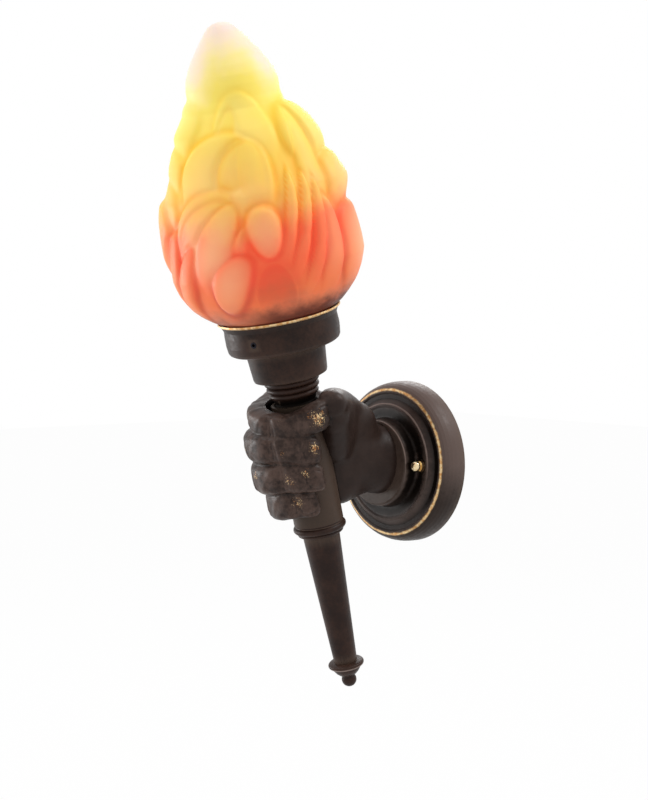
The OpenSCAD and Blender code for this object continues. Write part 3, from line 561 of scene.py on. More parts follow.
def make_finishes():
    spots = [(torch_spot(a, r, s), reach, strength) for a, r, s, reach, strength in RUBBED]
    return {
        "hand": antique_bronze("bronzed_hand", torch_place, (0.024, 0.0135, 0.0105), WORN_BROWN, 11.0,
                               spots=spots, palm=True, shade_rings=[FIST_HOLLOW_SHADE]),
        "torch": antique_bronze("bronzed_torch", torch_place, (0.020, 0.0092, 0.0068),
                                (0.050, 0.0235, 0.0160), shade_rings=[GRIP_HOLLOW_SHADE], pale_lines=[FINIAL_LINE]),
        "grip": antique_bronze("bronzed_grip", torch_place, (0.0125, 0.0062, 0.0048),
                               (0.031, 0.0155, 0.0112), shade_rings=[GRIP_HOLLOW_SHADE]),
        "cup": antique_bronze("bronzed_cup", torch_place, BROWN_BLACK, WARM_BROWN, rings=[LIP_LINE]),
        "plate": antique_bronze("bronzed_plate", plate_place, (0.030, 0.0185, 0.0145), (0.135, 0.095, 0.082),
                                34.0, plate=True, rings=[RIM_LINE], shade_rings=PLATE_PAINTED_SHADE, pale_lines=PLATE_PAINTED_HIGHLIGHTS),
        "steel": metal("zinc_steel", (0.42, 0.43, 0.44), (0.62, 0.62, 0.60), 0.38),
        "brass": metal("brass", (0.58, 0.37, 0.11), (0.87, 0.64, 0.27), 0.24),
        "cap_brass": metal("cap_brass", (0.62, 0.44, 0.22), (0.95, 0.80, 0.52), 0.22),
        "washer": metal("dark_washer", (0.03, 0.02, 0.016), (0.09, 0.06, 0.045), 0.42),
        "nylon": moulded("white_nylon", (0.70, 0.69, 0.65), (0.82, 0.81, 0.78), 0.42),
        "porcelain": moulded("porcelain", (0.76, 0.73, 0.66), (0.88, 0.86, 0.80), 0.18, 3.0, 0.03),
        "black_wire": moulded("black_wire", (0.015, 0.015, 0.016), (0.035, 0.034, 0.036), 0.45),
        "white_wire": moulded("white_wire", (0.68, 0.67, 0.64), (0.82, 0.81, 0.79), 0.45),
        "green_wire": moulded("green_wire", (0.01, 0.16, 0.05), (0.03, 0.28, 0.10), 0.45),
        "green_screw": metal("green_screw", (0.06, 0.30, 0.12), (0.16, 0.46, 0.22), 0.4),
        "rubber": moulded("black_rubber", (0.012, 0.012, 0.012), (0.03, 0.03, 0.03), 0.7),
        "bakelite": moulded("black_bakelite", (0.012, 0.010, 0.009), (0.035, 0.028, 0.024), 0.28),
        "felt": moulded("felt", (0.42, 0.36, 0.27), (0.62, 0.55, 0.44), 0.95, 0.5, 0.25, 0.4),
        "dark_screw": metal("dark_screw", (0.008, 0.008, 0.012), (0.030, 0.028, 0.034), 0.4),
        "tin": metal("tin", (0.40, 0.40, 0.39), (0.66, 0.65, 0.62), 0.34),
        "nickel": metal("nickel", (0.48, 0.46, 0.42), (0.70, 0.67, 0.62), 0.25),
        "glass": clear_glass(),
        "filament": hot_wire(),
        "flame": flame_glass(),
    }


# Which finish each CAD node takes that is shown as it is
NODE_FINISHES = {
    "plate": ("wall_plate",),
    "grip": ("grip_tube",),
    "torch": ("handle_shaft",),
    "cup": ("socket_cup", "gallery"),
    "steel": ("mounting_bar", "mounting_studs", "stud_nuts", "wrist_screws", "tie_rod", "rod_washer",
              "rod_nut", "pipe_washer"),
    "cap_brass": ("cap_nuts",),
    "brass": ("terminal_clamps", "lamp_pipe", "pipe_nut", "holder_terminals", "screw_shell",
              "centre_contact"),
    "washer": ("plate_washers",),
    "green_screw": ("ground_screw",),
    "nylon": ("terminal_block", "screw_tip_1", "screw_tip_2", "screw_tip_3"),
    "black_wire": ("line_lead",),
    "white_wire": ("neutral_lead",),
    "green_wire": ("ground_lead",),
    "rubber": ("wire_grommet",),
    "bakelite": ("holder_cap", "holder_skirt", "shade_ring"),
    "porcelain": ("holder_core",),
    "felt": ("shade_seal",),
    "dark_screw": ("block_screw", "set_screw_1", "set_screw_2", "set_screw_3"),
    "tin": ("lamp_contact",),
    "nickel": ("lamp_cap",),
    "glass": ("lamp_globe",),
    "filament": ("lamp_filament",),
}


def dress_nodes(finishes):
    for finish, nodes in NODE_FINISHES.items():
        for name in nodes:
            materials = frame["nodes"][name].data.materials
            materials.clear()
            materials.append(finishes[finish])


# ------------------------ flame

# The glass without its tongues: share of its height and share of its radius
FLAME_LINE = (
    (0.0, 0.545), (0.074, 0.545), (0.086, 0.62), (0.096, 0.70), (0.108, 0.755), (0.126, 0.82), (0.15, 0.89),
    (0.17, 0.93), (0.2, 0.965), (0.25, 0.995), (0.3, 0.99), (0.36, 0.975), (0.44, 0.955), (0.49, 0.93),
    (0.52, 0.885), (0.56, 0.835), (0.6, 0.79), (0.64, 0.735), (0.68, 0.665), (0.71, 0.59), (0.74, 0.52),
    (0.77, 0.5), (0.81, 0.505), (0.84, 0.485), (0.87, 0.44), (0.9, 0.38), (0.93, 0.305), (0.955, 0.235),
    (0.975, 0.18), (0.987, 0.14), (0.994, 0.1), (0.998, 0.06), (1.0, 0.0))
FLAME_BODY_R = 57.8
GLASS_SEGMENTS = 320
GLASS_RINGS = 256
INNER_RINGS = 40
GLASS_WALL = 3.2
TIP_THICKNESS = 12.0
# The foot's ring that stays exact, the plain neck above it, the height over which the tongues grow out of the
# neck, and the radius at which they begin to fade towards the tip
FOOT_EDGE = 4.0
NECK_TOP = 15.0
NECK_BLEND = 9.0
TIP_BLEND = 20.0
# How soft a tongue's edge is, half the width and the depth of the groove round it, how far the groove's paint
# reaches on either side, and the width from which a tongue's crown is fully pale
TONGUE_EDGE = 1.1
GROOVE_HALF = 1.8
GROOVE_DEPTH = 0.6
PAINT_OUTSIDE, PAINT_INSIDE = 3.4, 1.9
FULL_SWELL = 13.0
# How far the tip leans aside, and to which side
TIP_SWAY = 2.6
SWAY_TURN = math.radians(-41)

# Pressed tongues of the glass's front half, from the back one to the front one. Each has its middle's angle
# and height, half its length and width, its lean, how far its middle bows sideways, its taper, how far it
# stands out, its groove, and 1 where its foot runs out into the glass below
TONGUES = (
    (116, 213, 24, 26, -6, 0, 0.1, 6.0, 0.8, 1), (-30, 227, 18, 24, 4, 0, 0.1, 4.6, 0.1, 1),
    (52, 221, 27, 20, 0, 0, 0.3, 2.2, 0.4, 1), (38, 224, 14, 6, 10, 0, 0.3, 1.6, 0.5, 1),
    (-34, 203, 17, 24, 4, 0, 0.05, 3.2, 0.1, 1), (126, 184, 20, 24, -2, 0, 0.0, 6.2, 0.5, 1),
    (92, 194, 40, 9, 8, 3, 0.3, 2.8, 0.8, 1), (30, 195, 31, 26, 20, -5, 0.1, 4.0, 1.1, 1),
    (-34, 182, 19, 24, 12, 0, 0.1, 3.0, 0.1, 1), (49, 194, 26, 18, 4, -2, 0.1, 4.4, 1.1, 1),
    (43, 204, 16, 10, 40, 0, 0.1, 3.4, 0.8, 0), (52, 199, 20, 8.5, 4, 0, 0.0, 3.6, 0.2, 1),
    (-40, 154, 36, 24, 12, -3, 0.05, 7.6, 0.3, 1), (126, 139, 32, 27, -2, 3, 0.0, 4.6, 1.1, 1),
    (92, 146, 33, 9, 8, 4, 0.1, 4.0, 1.1, 1), (80, 152, 40, 4.8, 17, 6, 0.1, 4.4, 1.2, 1),
    (73, 160, 37, 4.4, 19, 5, 0.15, 4.0, 1.2, 1), (66, 166, 33, 4.4, 17, 4, 0.15, 3.8, 1.1, 1),
    (17, 159, 36, 24, 22, -7, 0.1, 4.0, 1.2, 1), (18, 156, 32, 19, 22, -6, 0.1, 4.6, 0.9, 1),
    (25, 152, 34, 13.5, 20, -6, 0.2, 5.2, 1.2, 1), (37, 158, 14, 5, 26, 0, 0.2, 5.6, 0.9, 1),
    (-24, 134, 38, 10, 16, -5, 0.1, 4.4, 0.8, 1), (-8, 128, 36, 9, 20, -6, 0.1, 4.2, 0.9, 1),
    (53, 163.5, 17, 11, -2, 0, -0.15, 6.2, 1.1, 0), (53, 127, 19, 14, 4, 0, 0.15, -1.2, 0.4, 1),
    (29, 134, 21, 12, 30, -3, 0.05, 5.8, 1.3, 0))
# The far side of the mould repeats the middle ones
FAR_TONGUES = tuple((tongue[0] + 180, *tongue[1:]) for tongue in TONGUES if -10 < tongue[0] < 100)


def flame_radius(height):
    """The smooth body's radius at a height above the glass's foot."""
    share = height / (GLASS_TOP - GLASS_BOTTOM)
    places, radii = zip(*FLAME_LINE)
    return FLAME_BODY_R * np.interp(share, places, radii)


def ease(value, low, high):
    share = np.clip((value - low) / (high - low), 0, 1)
    return share * share * (3 - 2 * share)


def flame_relief(angle, height):
    """How far the tongues stand out, and how near each point is to a groove and to a tongue's crown."""
    relief = np.zeros_like(height)
    groove = np.zeros_like(height)
    swell = np.zeros_like(height)
    body = flame_radius(height - GLASS_BOTTOM)
    for turn, middle, length, width, lean, bow, taper, proud, cut, open_foot in FAR_TONGUES + TONGUES:
        across = (angle - turn + 180) % 360 - 180
        x = np.radians(across) * body
        y = height - middle
        tilt = math.radians(lean)
        up = (y * math.cos(tilt) + x * math.sin(tilt)) / length
        side = x * math.cos(tilt) - y * math.sin(tilt) - bow * (1 - np.clip(up, -1.3, 1.3) ** 2)
        side = side / (width * (1 - taper * np.clip(up, -1, 1)))
        away = np.sqrt(up ** 2 + side ** 2) + 1e-6
        out = np.hypot(up * length, side * width) * (1 - 1 / away)
        shown = (1 - open_foot * (1 - ease(up, -0.95, 0.05))) * (np.abs(across) < 90)
        inside = shown / (1 + np.exp(np.clip(out / TONGUE_EDGE, -40, 40)))
        crown = np.clip(1 - away ** 2, 0, 1)
        pillow = proud * (0.5 + 0.5 * crown ** 0.6) * (1 + 0.2 * np.clip(up, -1, 1))
        relief = relief * (1 - inside) + pillow * inside
        relief = relief - GROOVE_DEPTH * cut * shown * np.exp(-(out / GROOVE_HALF) ** 2)
        reach = np.where(out > 0, PAINT_OUTSIDE, PAINT_INSIDE)
        recess = np.exp(-(out / reach) ** 2) * shown * min(cut, 1)
        covered = inside * np.clip(-out / 2.5, 0, 1)
        if proud < 0:
            recess = np.maximum(recess, 0.8 * covered)
        groove = np.maximum(groove * (1 - covered), recess)
        swell = swell * (1 - covered) + crown * covered * (proud > 0) * min(1, (width / FULL_SWELL) ** 2)
    return relief, groove, swell


def flame_sway(height):
    """How far the flame's axis stands to the side at a height."""
    return TIP_SWAY * (np.clip(height - GLASS_BOTTOM - NECK_TOP, 0, None) / (GLASS_TOP - GLASS_BOTTOM)) ** 1.2


def round_flame(angle, radius, height):
    turn = np.radians(angle)
    sway = flame_sway(height)
    return np.stack([radius * np.sin(turn) + sway * math.sin(SWAY_TURN),
                     -radius * np.cos(turn) - sway * math.cos(SWAY_TURN), height], 1)


def outer_flame(angle, share, mesh):
    pole = (share < 1e-4) | (share > 1 - 1e-4)
    share = np.clip(share - 1 / GLASS_RINGS, 0, 1) / (1 - 1 / GLASS_RINGS)
    height = GLASS_BOTTOM + (GLASS_TOP - GLASS_BOTTOM) * (1 - (1 - share) ** 1.25)
    body = flame_radius(height - GLASS_BOTTOM)
    relief, groove, swell = flame_relief(angle, height)
    above_neck = np.clip((height - GLASS_BOTTOM - NECK_TOP) / NECK_BLEND, 0, 1)
    below_tip = np.clip(body / TIP_BLEND, 0, 1)
    radius = np.where(pole, 0, np.maximum(body + relief * above_neck * below_tip, 0.15))
    for key, value in (("groove", groove * above_neck), ("swell", swell * above_neck)):
        attribute = mesh.attributes.new(key, "FLOAT", "POINT")
        attribute.data.foreach_set("value", value.astype(np.float32))
    return round_flame(angle, radius, height)


def inner_flame(angle, share, mesh):
    pole = (share < 1e-4) | (share > 1 - 1e-4)
    share = np.clip(share - 1 / INNER_RINGS, 0, 1) / (1 - 1 / INNER_RINGS)
    height = GLASS_BOTTOM + (GLASS_TOP - TIP_THICKNESS - GLASS_BOTTOM) * share
    radius = flame_radius(height - GLASS_BOTTOM) - GLASS_WALL - flame_sway(height) * 0.4
    radius = np.where(pole, 0, np.maximum(radius, 0.6) * np.sqrt(np.clip((1 - share) * 14, 0, 1)))
    for key in ("groove", "swell"):
        mesh.attributes.new(key, "FLOAT", "POINT")
    return round_flame(angle, radius, height)


def flame_shade(finishes):
    outer = drawn_out("flame_outside", GLASS_SEGMENTS, GLASS_RINGS, outer_flame)
    pressed = outer.vertex_groups.new(name="pressed")
    heights = mesh_points(outer.data)[:, 2]
    pressed.add(np.flatnonzero(heights > GLASS_BOTTOM + FOOT_EDGE).tolist(), 1.0, "REPLACE")
    modify(outer, "SMOOTH", factor=0.5, iterations=3, vertex_group="pressed")
    inner = drawn_out("flame_inside", GLASS_SEGMENTS, INNER_RINGS, inner_flame)
    only(inner)
    bpy.ops.object.mode_set(mode="EDIT")
    bpy.ops.mesh.select_all(action="SELECT")
    bpy.ops.mesh.flip_normals()
    glass = join([outer, inner], "flame_glass_shade")
    # The foot is open: its two middle points go, with their fans, and the wall's two edges are joined
    bpy.ops.object.mode_set(mode="EDIT")
    bpy.ops.mesh.select_mode(type="VERT")
    bpy.ops.mesh.select_all(action="DESELECT")
    bpy.ops.object.mode_set(mode="OBJECT")
    for vertex in glass.data.vertices:
        vertex.select = bool(vertex.co.z < GLASS_BOTTOM + 1e-3 and vertex.co.xy.length < 1)
    bpy.ops.object.mode_set(mode="EDIT")
    bpy.ops.mesh.delete(type="VERT")
    bpy.ops.mesh.select_all(action="DESELECT")
    bpy.ops.mesh.select_non_manifold(extend=False, use_boundary=True, use_wire=False, use_multi_face=False,
                                     use_non_contiguous=False, use_verts=False)
    bpy.ops.mesh.bridge_edge_loops()
    settle(glass, TORCH, "shade", finishes["flame"], "flame_shade", smooth=70)


# ------------------------ fist

# Each finger goes round the grip from its knuckle to its tip. A station is its angle from the front towards
# +X, the radius of its outer side, its height up the torch and half the finger's height there
FINGERS = (
    ((-122, 41, 42, 10.5), (-75, 34.4, 39.2, 8.6), (-40, 33.2, 38.6, 8.8), (-14, 31.8, 37.4, 8.4),
     (14, 30.6, 36.4, 7.6), (38, 31, 35.6, 7.5), (60, 31.6, 36.4, 9.2), (82, 30.4, 37.8, 10.1),
     (104, 27.5, 38.4, 9)),
    ((-122, 41, 21.5, 10.6), (-78, 39.5, 21.2, 10.8), (-40, 38.6, 20.9, 10.9), (-8, 35.4, 21.6, 10.3),
     (18, 33.2, 22.2, 9.8), (40, 32.4, 20.2, 9.8), (60, 31, 18, 9.8), (77, 28.5, 17.4, 8.8)),
    ((-120, 40.5, 1.5, 10.5), (-78, 39, 0.4, 10.8), (-40, 37.8, -0.6, 11.1), (-8, 35.2, 1.0, 10.6),
     (20, 32.6, 2.2, 10.2), (40, 31.6, 1.0, 9.8), (58, 30.4, -0.8, 9.4), (75, 28, -1.4, 8.6)),
    ((-116, 38, -17, 10), (-76, 34.4, -18.6, 10), (-42, 31.4, -19.6, 10), (-10, 30.2, -18.8, 9.8),
     (14, 29.2, -17.2, 9.5), (28, 28.4, -17.2, 9.2), (44, 27.2, -18.2, 8.7), (60, 25, -18.6, 7.8)))
FINGER_INSIDE = 14.5
HAND_DETAIL = 0.8
ROD_SIDES = 96
# Where the hollow for the neck stands on the fist's top, across the torch
NECK_HOLLOW = (1.5, -1.1)
# The angles of the knuckles, of each finger's middle joint and of its last joint
KNUCKLE_TURN = -38
JOINT_TURNS = (9, 11, 17, 23)
TIP_JOINT_TURN = 48
# Half the width of a skin fold, half the length of a nail, how many degrees its middle stands back from the
# finger's end, and how square it is
FOLD_HALF = 0.9
NAIL_LENGTH = 6.2
NAIL_BACK = 17
NAIL_POWER = 2.6

# The thumb and the wrist: centre in the row frame, half the width and half the height
THUMB = (
    ((-7, -38, 14), 15.5, 16), ((-4, -51, 25), 17, 16), ((1, -62, 34), 15.5, 14.4),
    ((7, -71, 38.8), 13.5, 12.8), ((13, -79.5, 41.4), 12.2, 11.8), ((19, -87, 42.6), 11.6, 10.6),
    ((25, -93.5, 42.6), 11, 10), ((28.5, -98.5, 41.6), 9.4, 9))
WRIST = (
    ((0, -22, 3), 21, 24), ((0, -30, 3), 21, 24), ((-0.5, -38, 3.6), 20.4, 23), ((-1.5, -46, 4.2), 20.6, 25),
    ((-2.5, -54, 5), 21, 29), ((-4, -62, 6), 20, 31), ((-6, -70, 8), 16, 32))

# Balls that the skin is stretched over: the back of the hand, the palm's two mounds and the thumb's web
BACK = (((-27, -78, 46), 10), ((-32, -79, 28), 10.5), ((-32, -78, 8), 10.5), ((-28, -80, -12), 9.5),
        ((-8, -50, 24), 15), ((-8, -52, -4), 16))
THENAR = (((2, -52, 28), 15), ((6, -67, 29), 13), ((5, -70, 17), 12), ((4, -70, 6), 11), ((0, -46, 14), 16))
WEB = (((21, -86, 34), 10.5), ((14, -79, 26), 12), ((9, -75, 14), 11.5), ((17, -83, 40), 11.5),
       ((6, -68, 32), 13))
HEEL = (((2, -60, -8), 14), ((3, -66, -14), 11.5), ((4, -70, 0), 10.5), ((-2, -48, -4), 17))


def along(stations, share, blur=0.035):
    """Values of the stations at shares of the way, with the corners rounded off."""
    stations = np.array(stations, float)
    steps = np.linspace(0, 1, len(stations))
    near = [np.clip(share + blur * k, 0, 1) for k in (-1, -0.5, 0, 0.5, 1)]
    return np.stack([sum(np.interp(at, steps, column) for at in near) / 5 for column in stations.T], 1)


def rounded_ends(share, start, end, power=2.3):
    """The size of a limb's section: it closes over a dome at each end."""
    first = np.clip(1 - share / start, 0, 1) ** power
    last = np.clip(1 - (1 - share) / end, 0, 1) ** power
    return ((1 - first) * (1 - last)) ** (1 / power)


def squared(angle, power):
    """A unit section between a circle and a square."""
    turn = np.radians(angle)
    across = np.sign(np.sin(turn)) * np.abs(np.sin(turn)) ** (2 / power)
    up = np.sign(np.cos(turn)) * np.abs(np.cos(turn)) ** (2 / power)
    return across[:, None], up[:, None]


TORCH_TO_ROW = MILLIMETRES.inverted() @ TORCH


def moved(points, matrix):
    return points @ np.array(matrix.to_3x3()).T + np.array(matrix.translation)


def finger(index, stations):
    def shape(angle, share, mesh):
        turn, outer, height, half = along(stations, share).T
        size = rounded_ends(share, 0.08, 0.11)[:, None]
        turn = np.radians(turn)
        depth = (outer - FINGER_INSIDE) / 2
        outwards = np.stack([np.sin(turn), -np.cos(turn), 0 * turn], 1)
        centre = outwards * (FINGER_INSIDE + depth)[:, None]
        centre[:, 2] = height
        across, up = squared(angle, 3.3)
        points = centre + outwards * across * size * depth[:, None]
        points[:, 2:] += up * size * half[:, None]
        return moved(points, TORCH_TO_ROW)
    return drawn_out("finger_%d" % index, 40, 72, shape)


def limb(name, stations, start, end, power):
    """A limb along centres in the row frame, with half its width and half its height at each."""
    table = [(*centre, width, height) for centre, width, height in stations]

    def shape(angle, share, mesh):
        x, y, z, width, height = along(table, share).T
        centre = np.stack([x, y, z], 1)
        before, after = (along(table, np.clip(share + step, 0, 1))[:, :3] for step in (-0.01, 0.01))
        ahead = after - before
        ahead /= np.linalg.norm(ahead, axis=1)[:, None]
        side = np.cross(ahead, (0, 0, 1))
        side /= np.linalg.norm(side, axis=1)[:, None]
        top = np.cross(side, ahead)
        across, up = squared(angle, power)
        size = rounded_ends(share, start, end)[:, None]
        return centre + side * across * size * width[:, None] + top * up * size * height[:, None]
    return drawn_out(name, 40, 60, shape)


def lump(name, balls):
    """The skin stretched over some balls."""
    clear_selection()
    centre, radius = balls[0]
    bpy.ops.mesh.primitive_uv_sphere_add(segments=24, ring_count=16, radius=radius, location=centre)
    piece = bpy.context.active_object
    piece.name = name
    bpy.ops.object.transform_apply(location=True, rotation=True, scale=True)
    bpy.ops.object.mode_set(mode="EDIT")
    for centre, radius in balls[1:]:
        bpy.ops.mesh.primitive_uv_sphere_add(segments=24, ring_count=16, radius=radius, location=centre)
    bpy.ops.mesh.select_all(action="SELECT")
    bpy.ops.mesh.convex_hull()
    bpy.ops.object.mode_set(mode="OBJECT")
    return piece


def skin_folds(place):
    """Folds over the finger joints and the nails, as a depth at each point of the fist."""
    radius = np.hypot(place[:, 0], place[:, 1])
    turn = np.degrees(np.arctan2(place[:, 0], -place[:, 1]))
    depth = np.zeros(len(place))
    for stations, joint_turn in zip(FINGERS, JOINT_TURNS):
        turns, outers, heights, halves = (np.array(stations, float)[:, k] for k in range(4))
        outer = np.interp(turn, turns, outers)
        up = (place[:, 2] - np.interp(turn, turns, heights)) / np.interp(turn, turns, halves)
        near = np.clip((radius - outer + 6.5) / 3, 0, 1) * np.clip(1.25 - np.abs(up) ** 3 * 1.4, 0, 1)
        dips = ((KNUCKLE_TURN + 16, 8, 0.6), (joint_turn, 7, 1.2), (TIP_JOINT_TURN, 5.5, 0.8))
        for middle, reach, dip in dips:
            depth -= dip * near * np.exp(-((turn - middle) / reach) ** 2)
        folds = ((KNUCKLE_TURN, 4.6, 3, 0.6), (joint_turn, 3.8, 3, 0.45), (TIP_JOINT_TURN, 3.4, 2, 0.35))
        for middle, spread, count, cut in folds:
            for k in range(count):
                bend = (1.6 * k - 1.6) * up ** 2 + 1.2 * np.sin(2.2 * up + k)
                line = middle + spread * (k - (count - 1) / 2) + bend
                off = np.radians(turn - line) * radius
                depth -= cut * near * np.exp(-(off / FOLD_HALF) ** 2) * (1 - 0.35 * np.abs(up))
        nail_turn = turns[-1] - NAIL_BACK
        ahead = np.radians(turn - nail_turn) * radius / NAIL_LENGTH
        nail = (np.abs(ahead) ** NAIL_POWER + np.abs(up / 0.62) ** NAIL_POWER) ** (1 / NAIL_POWER)
        on_top = np.clip((radius - outer + 5) / 2, 0, 1) * (np.abs(turn - nail_turn) < 40)
        depth -= 0.4 * on_top * np.exp(-((nail - 1) / 0.16) ** 2) * (ahead < 0.6)
        depth += 0.2 * on_top * (nail < 0.93)
    return depth + hand_worked(place) * (1 - 0.85 * palm_share(place))


def hand_worked(place):
    """The uneven touch of handwork: a depth that rolls over a few millimetres in three directions."""
    waves = np.zeros(len(place))
    rolls = ((14, 0.16, (0.6, 0.5, 0.62)), (9, 0.12, (-0.7, 0.3, 0.65)), (7, 0.09, (0.2, -0.8, 0.57)))
    for length, depth, ahead in rolls:
        along_wave = place @ np.array(ahead) * (2 * math.pi / length)
        across_wave = place @ np.array((ahead[2], ahead[0], -ahead[1])) * (2 * math.pi / (length * 1.7))
        waves += depth * np.sin(along_wave + 1.3 * np.sin(across_wave))
    return waves


def torch_neck(finishes):
    """Three close beads under the cup, then a stem that goes down into the fist and the grip."""
    outline = [(PIPE_ROOM, GRIP_TOP - SPIGOT_LEN), (SPIGOT_R, GRIP_TOP - SPIGOT_LEN), (SPIGOT_R, GRIP_TOP)]
    outline += [(14.6, GRIP_TOP), (13.6, GRIP_TOP + 1.4)]
    for below, radius, half in ((10.6, 16.4, 1.9), (6.6, 17.4, 2.0), (2.4, 18.1, 2.1)):
        outline += arc(radius - half, CUP_BOTTOM - below, half, -90, 90, 6)
    outline += [(15.8, CUP_BOTTOM), (PIPE_ROOM, CUP_BOTTOM), (PIPE_ROOM, GRIP_TOP - SPIGOT_LEN)]
    neck = turned("beaded_neck", outline, 120, 0.15)
    settle(neck, TORCH, "sconce", finishes["torch"], "torch_neck", smooth=35)


def finial(finishes):
    """A flange with a rounded edge, a waisted cone and a ball."""
    rod_end = SHAFT_BOTTOM - 7.6
    outline = [(0.01, rod_end), (ROD_ROOM, rod_end), (ROD_ROOM, SHAFT_BOTTOM), (8.8, SHAFT_BOTTOM)]
    outline += arc(FINIAL_R - 1.7, SHAFT_BOTTOM - 2.2, 1.7, 75, -80, 8)
    outline += [(9.7, SHAFT_BOTTOM - 4.3), (9.0, SHAFT_BOTTOM - 6.0), (7.6, SHAFT_BOTTOM - 8.0),
                (6.0, SHAFT_BOTTOM - 9.5), (4.7, SHAFT_BOTTOM - 10.4)]
    outline += arc(0, FINIAL_BOTTOM + 5, 5, 28, -89.9, 12)
    drop = turned("waisted_finial", outline, 96, 0)
    settle(drop, TORCH, "sconce", finishes["torch"], "finial", smooth=40)


def collar(finishes):
    """The roll below the fist: the grip flares into it, and it steps back in to the shaft."""
    outline = [(ROD_ROOM, COLLAR_TOP), (SPIGOT_R, COLLAR_TOP), (SPIGOT_R, GRIP_BOTTOM), (GRIP_R, GRIP_BOTTOM)]
    outline += [(GRIP_R - 0.5, GRIP_BOTTOM - 0.9), (GRIP_R - 0.4, GRIP_BOTTOM - 1.5)]
    outline += arc(COLLAR_R - 2.3, GRIP_BOTTOM - 3.8, 2.3, 70, -62, 9)
    outline += [(15.6, GRIP_BOTTOM - 6.1)] + arc(14.0, GRIP_BOTTOM - 7.3, 1.3, 55, -80, 6)
    outline += [(13.2, COLLAR_BOTTOM), (ROD_ROOM, COLLAR_BOTTOM), (ROD_ROOM, COLLAR_TOP)]
    roll = turned("rolled_collar", outline[::-1], 120, 0.15)
    settle(roll, TORCH, "sconce", finishes["torch"], "collar_ring", smooth=40)


def palm_share(place):
    """1 on the palm and the thumb, 0 on the fingers."""
    x, y, z = place.T
    return np.maximum(ease(y, 5, 12), ease(x, 12, 18) * ease(y, -12, -5) * ease(z, 43, 48))


def smooth_palm(hand, place):
    """Runs the thumb, its web and the palm into each other; the fingers stay as they are."""
    soft = palm_share(place)
    group = hand.vertex_groups.new(name="palm")
    for level in range(1, 11):
        chosen = np.flatnonzero(np.round(soft * 10) == level)
        group.add(chosen.tolist(), level / 10, "REPLACE")
    modify(hand, "SMOOTH", factor=0.5, iterations=70, vertex_group="palm")


def fist(finishes):
    parts = [finger(k, stations) for k, stations in enumerate(FINGERS)]
    parts += [limb("thumb", THUMB, 0.1, 0.16, 2.0), limb("wrist", WRIST, 0.05, 0.3, 2.1)]
    parts += [lump("back", BACK), lump("thenar", THENAR), lump("web", WEB)]
    parts.append(lump("heel", HEEL))
    hand = join(parts, "sculpted_fist")
    modify(hand, "REMESH", mode="VOXEL", voxel_size=HAND_DETAIL)
    modify(hand, "SMOOTH", factor=0.5, iterations=5)
    points = mesh_points(hand.data)
    smooth_palm(hand, moved(points, TORCH_TO_ROW.inverted()))
    points = mesh_points(hand.data)
    normals = np.empty(points.size)
    hand.data.vertices.foreach_get("normal", normals)
    depth = skin_folds(moved(points, TORCH_TO_ROW.inverted()))
    points += normals.reshape(-1, 3) * depth[:, None]
    hand.data.vertices.foreach_set("co", points.reshape(-1))
    hand.data.update()
    only(hand)
    bpy.ops.object.mode_set(mode="EDIT")
    bpy.ops.mesh.select_all(action="SELECT")
    bpy.ops.mesh.bisect(plane_co=(0, -BOSS_H, 0), plane_no=(0, 1, 0), use_fill=True, clear_outer=True)
    bpy.ops.object.mode_set(mode="OBJECT")
    cut_away(hand, rod("bore", GRIP_R + 0.3, (0, 0, -60), (0, 0, 60), TORCH_TO_ROW),
             rod("neck_room", NECK_R + 0.9, (*NECK_HOLLOW, GRIP_TOP - 7), (*NECK_HOLLOW, 90), TORCH_TO_ROW),
             rod("wire_channel", 4, (0, -REACH, 0), (0, -BOSS_H + 1, 0)))
    settle(hand, MILLIMETRES, "sconce", finishes["hand"], "hand", smooth=60)


def rod(name, radius, start, end, place=Matrix()):
    """A round bar between two points."""
    start, end = place @ Vector(start), place @ Vector(end)
    clear_selection()
    bpy.ops.mesh.primitive_cylinder_add(vertices=ROD_SIDES, radius=radius, depth=(end - start).length)
    bar = bpy.context.active_object
    bar.name = name
    turn = (end - start).to_track_quat("Z", "Y").to_matrix().to_4x4()
    bar.matrix_world = Matrix.Translation((start + end) / 2) @ turn
    bpy.ops.object.transform_apply(location=True, rotation=True, scale=True)
    return bar


# ------------------------ camera, light and floor

LOOK_AT = (0.0, -0.0772, 0.0440)
CAMERA_AWAY = 1.0913
AZIMUTH = 48.7
ELEVATION = 3.2
ROLL = 0.68
LENS = 74.65
SENSOR = 36
FLOOR_BELOW = 0.16


def camera():
    turn, rise = math.radians(AZIMUTH), math.radians(ELEVATION)
    towards = Vector((math.cos(rise) * math.sin(turn), -math.cos(rise) * math.cos(turn), math.sin(rise)))
    lens = bpy.data.cameras.new("photo_camera")
    lens.lens = LENS
    lens.sensor_width = SENSOR
    lens.clip_start = 0.01
    view = bpy.data.objects.new("photo_camera", lens)
    bpy.context.scene.collection.objects.link(view)
    facing = Matrix.Rotation(turn, 4, "Z") @ Matrix.Rotation(math.pi / 2 - rise, 4, "X")
    facing = facing @ Matrix.Rotation(math.radians(ROLL), 4, "Z")
    view.matrix_world = Matrix.Translation(Vector(LOOK_AT) + towards * CAMERA_AWAY) @ facing
    bpy.context.scene.camera = view


def soft_light(name, place, size, power, aim=(0, -0.08, 0.08)):
    clear_selection()
    bpy.ops.object.light_add(type="AREA", location=place)
    light = bpy.context.active_object
    light.name = name
    light.data.shape = "DISK"
    light.data.size = size
    light.data.energy = power
    light.rotation_euler = (Vector(aim) - Vector(place)).to_track_quat("-Z", "Y").to_euler()


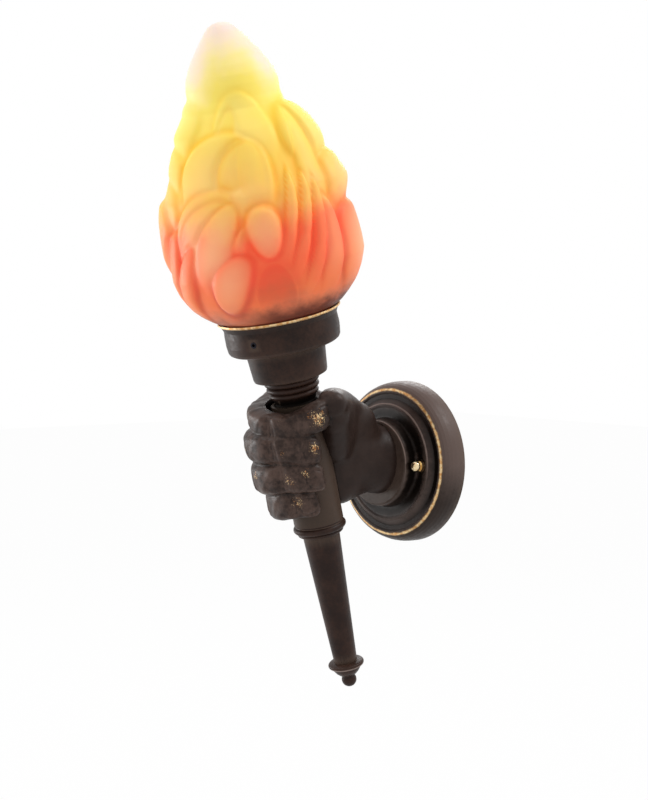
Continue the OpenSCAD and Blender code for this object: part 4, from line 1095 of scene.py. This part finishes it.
def seen_directly(owner):
    """1 for what the camera, a reflection or a look through glass sees, 0 for the light on things."""
    paths = node(owner, "ShaderNodeLightPath").outputs
    total = math_node(owner, "MAXIMUM", paths["Is Camera Ray"], paths["Is Glossy Ray"])
    return math_node(owner, "MAXIMUM", total, paths["Is Transmission Ray"])


def white_world(ambient=0.5):
    world = bpy.data.worlds.new("white_room")
    bpy.context.scene.world = world
    world.use_nodes = True
    world.node_tree.nodes.clear()
    strength = remap(world, seen_directly(world), 0.0, 1.0, ambient, 1.0, smooth=False)
    back = node(world, "ShaderNodeBackground", {}, {"Color": (1, 1, 1, 1), "Strength": strength})
    node(world, "ShaderNodeOutputWorld", {}, {"Surface": back.outputs[0]})


def pale_floor():
    clear_selection()
    bpy.ops.mesh.primitive_plane_add(size=8, location=(0, 0, cad_box[0][2] - FLOOR_BELOW))
    floor = bpy.context.active_object
    floor.name = "pale_floor"
    bpy.ops.object.transform_apply(location=True, rotation=True, scale=True)
    finish = new_finish("pale_floor")
    paint = node(finish, "ShaderNodeBsdfPrincipled", {}, {
        "Base Color": (0.86, 0.86, 0.86, 1), "Roughness": 0.8, "Specular IOR Level": 0.1})
    glow = node(finish, "ShaderNodeEmission", {}, {"Color": (1, 1, 1, 1), "Strength": 1.0})
    seen = times(finish, seen_directly(finish), 0.97)
    mix = node(finish, "ShaderNodeMixShader", {}, {0: seen, 1: paint.outputs[0], 2: glow.outputs[0]})
    node(finish, "ShaderNodeOutputMaterial", {}, {"Surface": mix.outputs[0]})
    floor.data.materials.append(finish)


# ------------------------ the scene

bpy.context.scene.view_settings.view_transform = "Standard"
camera()
white_world()
pale_floor()
soft_light("key_light", (-0.5, -0.9, 1.2), 0.5, 5.0)
soft_light("back_light", (-0.75, 0.85, 0.7), 0.6, 3.2)
soft_light("left_light", (-1.2, -0.6, -0.1), 0.5, 5.5, (0, -0.09, -0.02))
soft_light("top_light", (0.6, 0.5, 1.0), 0.5, 6.5, (0, -0.05, 0.0))
finishes = make_finishes()
dress_nodes(finishes)
flame_shade(finishes)
fist(finishes)
torch_neck(finishes)
collar(finishes)
finial(finishes)
